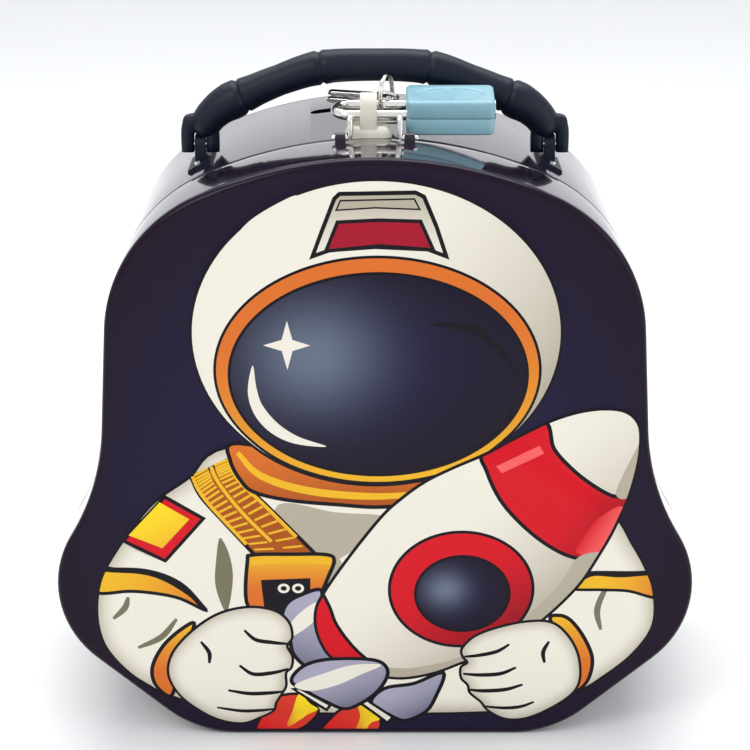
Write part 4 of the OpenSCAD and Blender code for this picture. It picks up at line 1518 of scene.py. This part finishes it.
@dataclass
class Ring:
    """Split ring of flat-sided wire in two close turns, and the keys on it."""

    centre: tuple = (2.8, -7.355, 159.948)
    mean: float = 4.8
    wire: float = 0.34
    turn: float = -18.0
    slant: float = -42.0
    angles: tuple = (-42.0, -20.0)

    def place(self, points: np.ndarray) -> np.ndarray:
        """Moves points of the ring's own frame, whose axis is X, into the box's."""
        return turned(np.asarray(points, float), 2, self.turn) + np.array(self.centre)

    def ring(self, material: bpy.types.Material) -> bpy.types.Object:
        """Two turns of a circle that step sideways where the wire crosses over.

        Args:
            material: Its finish.

        Returns:
            The ring.
        """
        t = np.linspace(0, 2 * TAU, 129)
        shift = 0.30 * np.tanh((t - TAU) * 1.4)
        path = np.column_stack([shift, self.mean * np.cos(t + 2.2), self.mean * np.sin(t + 2.2)])
        verts, faces = tube(path, self.wire, (1, 0, 0), 10, flat=0.85)
        return new_piece("split_ring", self.place(verts), faces, "ring", material, ["key_ring"])

    def key(self, index: int, name: str, node: str, material: bpy.types.Material) -> bpy.types.Object:
        """One flat key with a round bow, a shoulder and a cut blade.

        Args:
            index: Which of the ring's angles it takes.
            name: Its name.
            node: CAD node and body that it stands for.
            material: Its finish.

        Returns:
            The key.
        """
        a = self.angles[index]
        t = np.radians(np.linspace(-152, 152, 33))
        bow = np.column_stack([-1.4 + 3.6 * np.cos(t), 1.2 + 3.6 * np.sin(t)])
        cuts = np.array([(-4.8, 1.3), (-6.4, 1.3), (-7.0, 0.7), (-8.2, 0.5), (-9.0, 0.9), (-10.0, 0.4),
                         (-11.2, 0.3), (-12.0, 0.8), (-13.2, 0.4), (-14.4, 0.2), (-15.4, 0.7),
                         (-16.4, 0.2), (-16.9, -0.4), (-16.4, -1.2), (-15.6, -1.5), (-4.8, -1.5)])
        loop = np.concatenate([bow, cuts])
        around = np.radians(np.arange(0, 360, 15))
        hole = np.column_stack([1.3 * np.cos(around), 1.3 * np.sin(around)])
        edges = loop_edges(0, len(loop)) + loop_edges(len(loop), len(hole))
        flat, tris = filled(np.concatenate([loop, hole]), edges, 1e-5)
        middle = flat[tris].mean(1)
        tris = tris[inside(middle, loop) & ~inside(middle, hole)]
        n = len(flat)
        verts = np.concatenate([np.column_stack([flat, np.full(n, z)]) for z in (-0.45, 0.45)])
        faces = tris[:, ::-1].tolist() + (tris + n).tolist()
        faces += [[u, v, v + n, u + n] for u, v in loop_edges(0, len(loop))]
        faces += [[v, u, u + n, v + n] for u, v in loop_edges(len(loop), len(hole))]
        verts = turned(verts, 0, self.slant - a)
        verts = turned(verts + np.array([0, self.mean, 0]), 0, a)
        obj = new_piece(name, self.place(verts), faces, node, material, [node], smooth=False)
        edge = obj.modifiers.new("edge", "BEVEL")
        edge.width, edge.segments, edge.limit_method = 0.12 * MM, 2, "ANGLE"
        return obj


# ---------------------------------------------------------------------------------------------- studio
@dataclass
class Studio:
    """Pale floor, soft lights and the camera."""

    camera_at: tuple = (0.0, -0.541, 0.2648)
    pitch: float = 71.5
    lens: float = 104.05
    lights: tuple = (("key", (-0.55, -0.75, 0.85), (0, 0, 0.08), 0.5, 0.5, 3.2),
                     ("fill", (0.8, -0.5, 0.35), (0, 0, 0.08), 0.4, 0.7, 1.2),
                     ("top", (0.0, 0.25, 0.9), (0, 0, 0.12), 0.9, 0.5, 6.0))

    def area(self, name: str, at: tuple, to: tuple, wide: float, high: float, power: float) -> None:
        """Adds a soft rectangular light.

        Args:
            name: Its name.
            at: Its place.
            to: Point that it faces.
            wide: Width.
            high: Height.
            power: Power in watts.
        """
        data = bpy.data.lights.new(name, "AREA")
        data.shape, data.size, data.size_y = "RECTANGLE", wide, high
        data.energy = power
        obj = bpy.data.objects.new(name, data)
        obj.location = at
        obj.rotation_euler = (Vector(to) - Vector(at)).to_track_quat("-Z", "Y").to_euler()
        bpy.context.scene.collection.objects.link(obj)

    def build(self) -> None:
        """Builds the floor, the lights and the camera."""
        mesh = bpy.data.meshes.new("floor")
        y, z = np.array([-3.0, 1.2, 1.7, 1.9, 2.0]), np.array([0.0, 0.0, 0.15, 0.6, 3.0])
        verts = np.array([[(x, a, b) for x in (-3.0, 3.0)] for a, b in zip(y, z)]).reshape(-1, 3)
        mesh.from_pydata(verts.tolist(), [], grid_faces(5, 2, wrap_v=False)[:, ::-1].tolist())
        mesh.materials.append(Finish("floor", (0.86, 0.86, 0.85), rough=0.6, scale=3.0, spots=0.02).build())
        floor = bpy.data.objects.new("floor", mesh)
        bpy.context.scene.collection.objects.link(floor)
        world = bpy.data.worlds.new("studio")
        world.use_nodes = True
        world.node_tree.nodes["Background"].inputs["Color"].default_value = (0.93, 0.95, 1.0, 1)
        world.node_tree.nodes["Background"].inputs["Strength"].default_value = 1.0
        bpy.context.scene.world = world
        for light in self.lights:
            self.area(*light)
        camera = bpy.data.cameras.new("camera")
        camera.lens, camera.sensor_width = self.lens, 36.0
        camera.clip_start = 0.01
        obj = bpy.data.objects.new("camera", camera)
        obj.location, obj.rotation_euler = self.camera_at, (math.radians(self.pitch), 0, 0)
        bpy.context.scene.collection.objects.link(obj)
        bpy.context.scene.camera = obj
        bpy.context.scene.view_settings.view_transform = "Standard"


def dress(nodes: dict, materials: dict) -> None:
    """Gives each CAD node that stays in sight its finish in all its slots.

    Args:
        nodes: CAD nodes by name.
        materials: Finishes by name.
    """
    wear = {"night_tin": ["hinge_leaf_back", "hinge_leaf_front", "bail_eyes"], "bare_tin": ["inner_lip"],
            "nickel": ["hinge_pin", "staple_rivets", "bracket_rivets", "handle_pins", "latch_spring",
                       "lock_plug"], "zinc": ["lock_case"], "brass": ["latch_bolt"],
            "navy_plastic": ["bracket_left", "bracket_right"]}
    for slot, names in wear.items():
        for name in names:
            mesh = nodes[name].data
            for k in range(max(1, len(mesh.materials))):
                if k < len(mesh.materials):
                    mesh.materials[k] = materials[slot]
                else:
                    mesh.materials.append(materials[slot])


def main() -> None:
    """Builds every piece on the frame."""
    logging.basicConfig(level=logging.INFO)
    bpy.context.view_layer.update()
    made = {f.name: f.build() for f in (NIGHT, BARE, NICKEL, ZINC, BRASS, ENAMEL, NAVY_PLASTIC, AQUA)}
    printed = PrintedTin().build()
    dress(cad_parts, made)
    outline = Outline()
    Face(outline, Drawing()).build(printed)
    shells = Shells(outline)
    shells.front(NIGHT_TOP.build())
    shells.back(made["night_tin"])
    shells.rear(made["night_tin"])
    Grip().build(made["navy_plastic"])
    clasp = Clasp()
    clasp.staple(made["cream_enamel"])
    clasp.bail(made["nickel"])
    lock = Padlock()
    for side in (1, -1):
        lock.cover(side, made["aqua_plastic"])
    lock.shackle(made["nickel"])
    ring = Ring()
    ring.ring(made["nickel"])
    ring.key(0, "flat_key_one", "key_one", made["nickel"])
    ring.key(1, "flat_key_two", "key_two", made["nickel"])
    Studio().build()


if __name__ == "__main__":
    main()
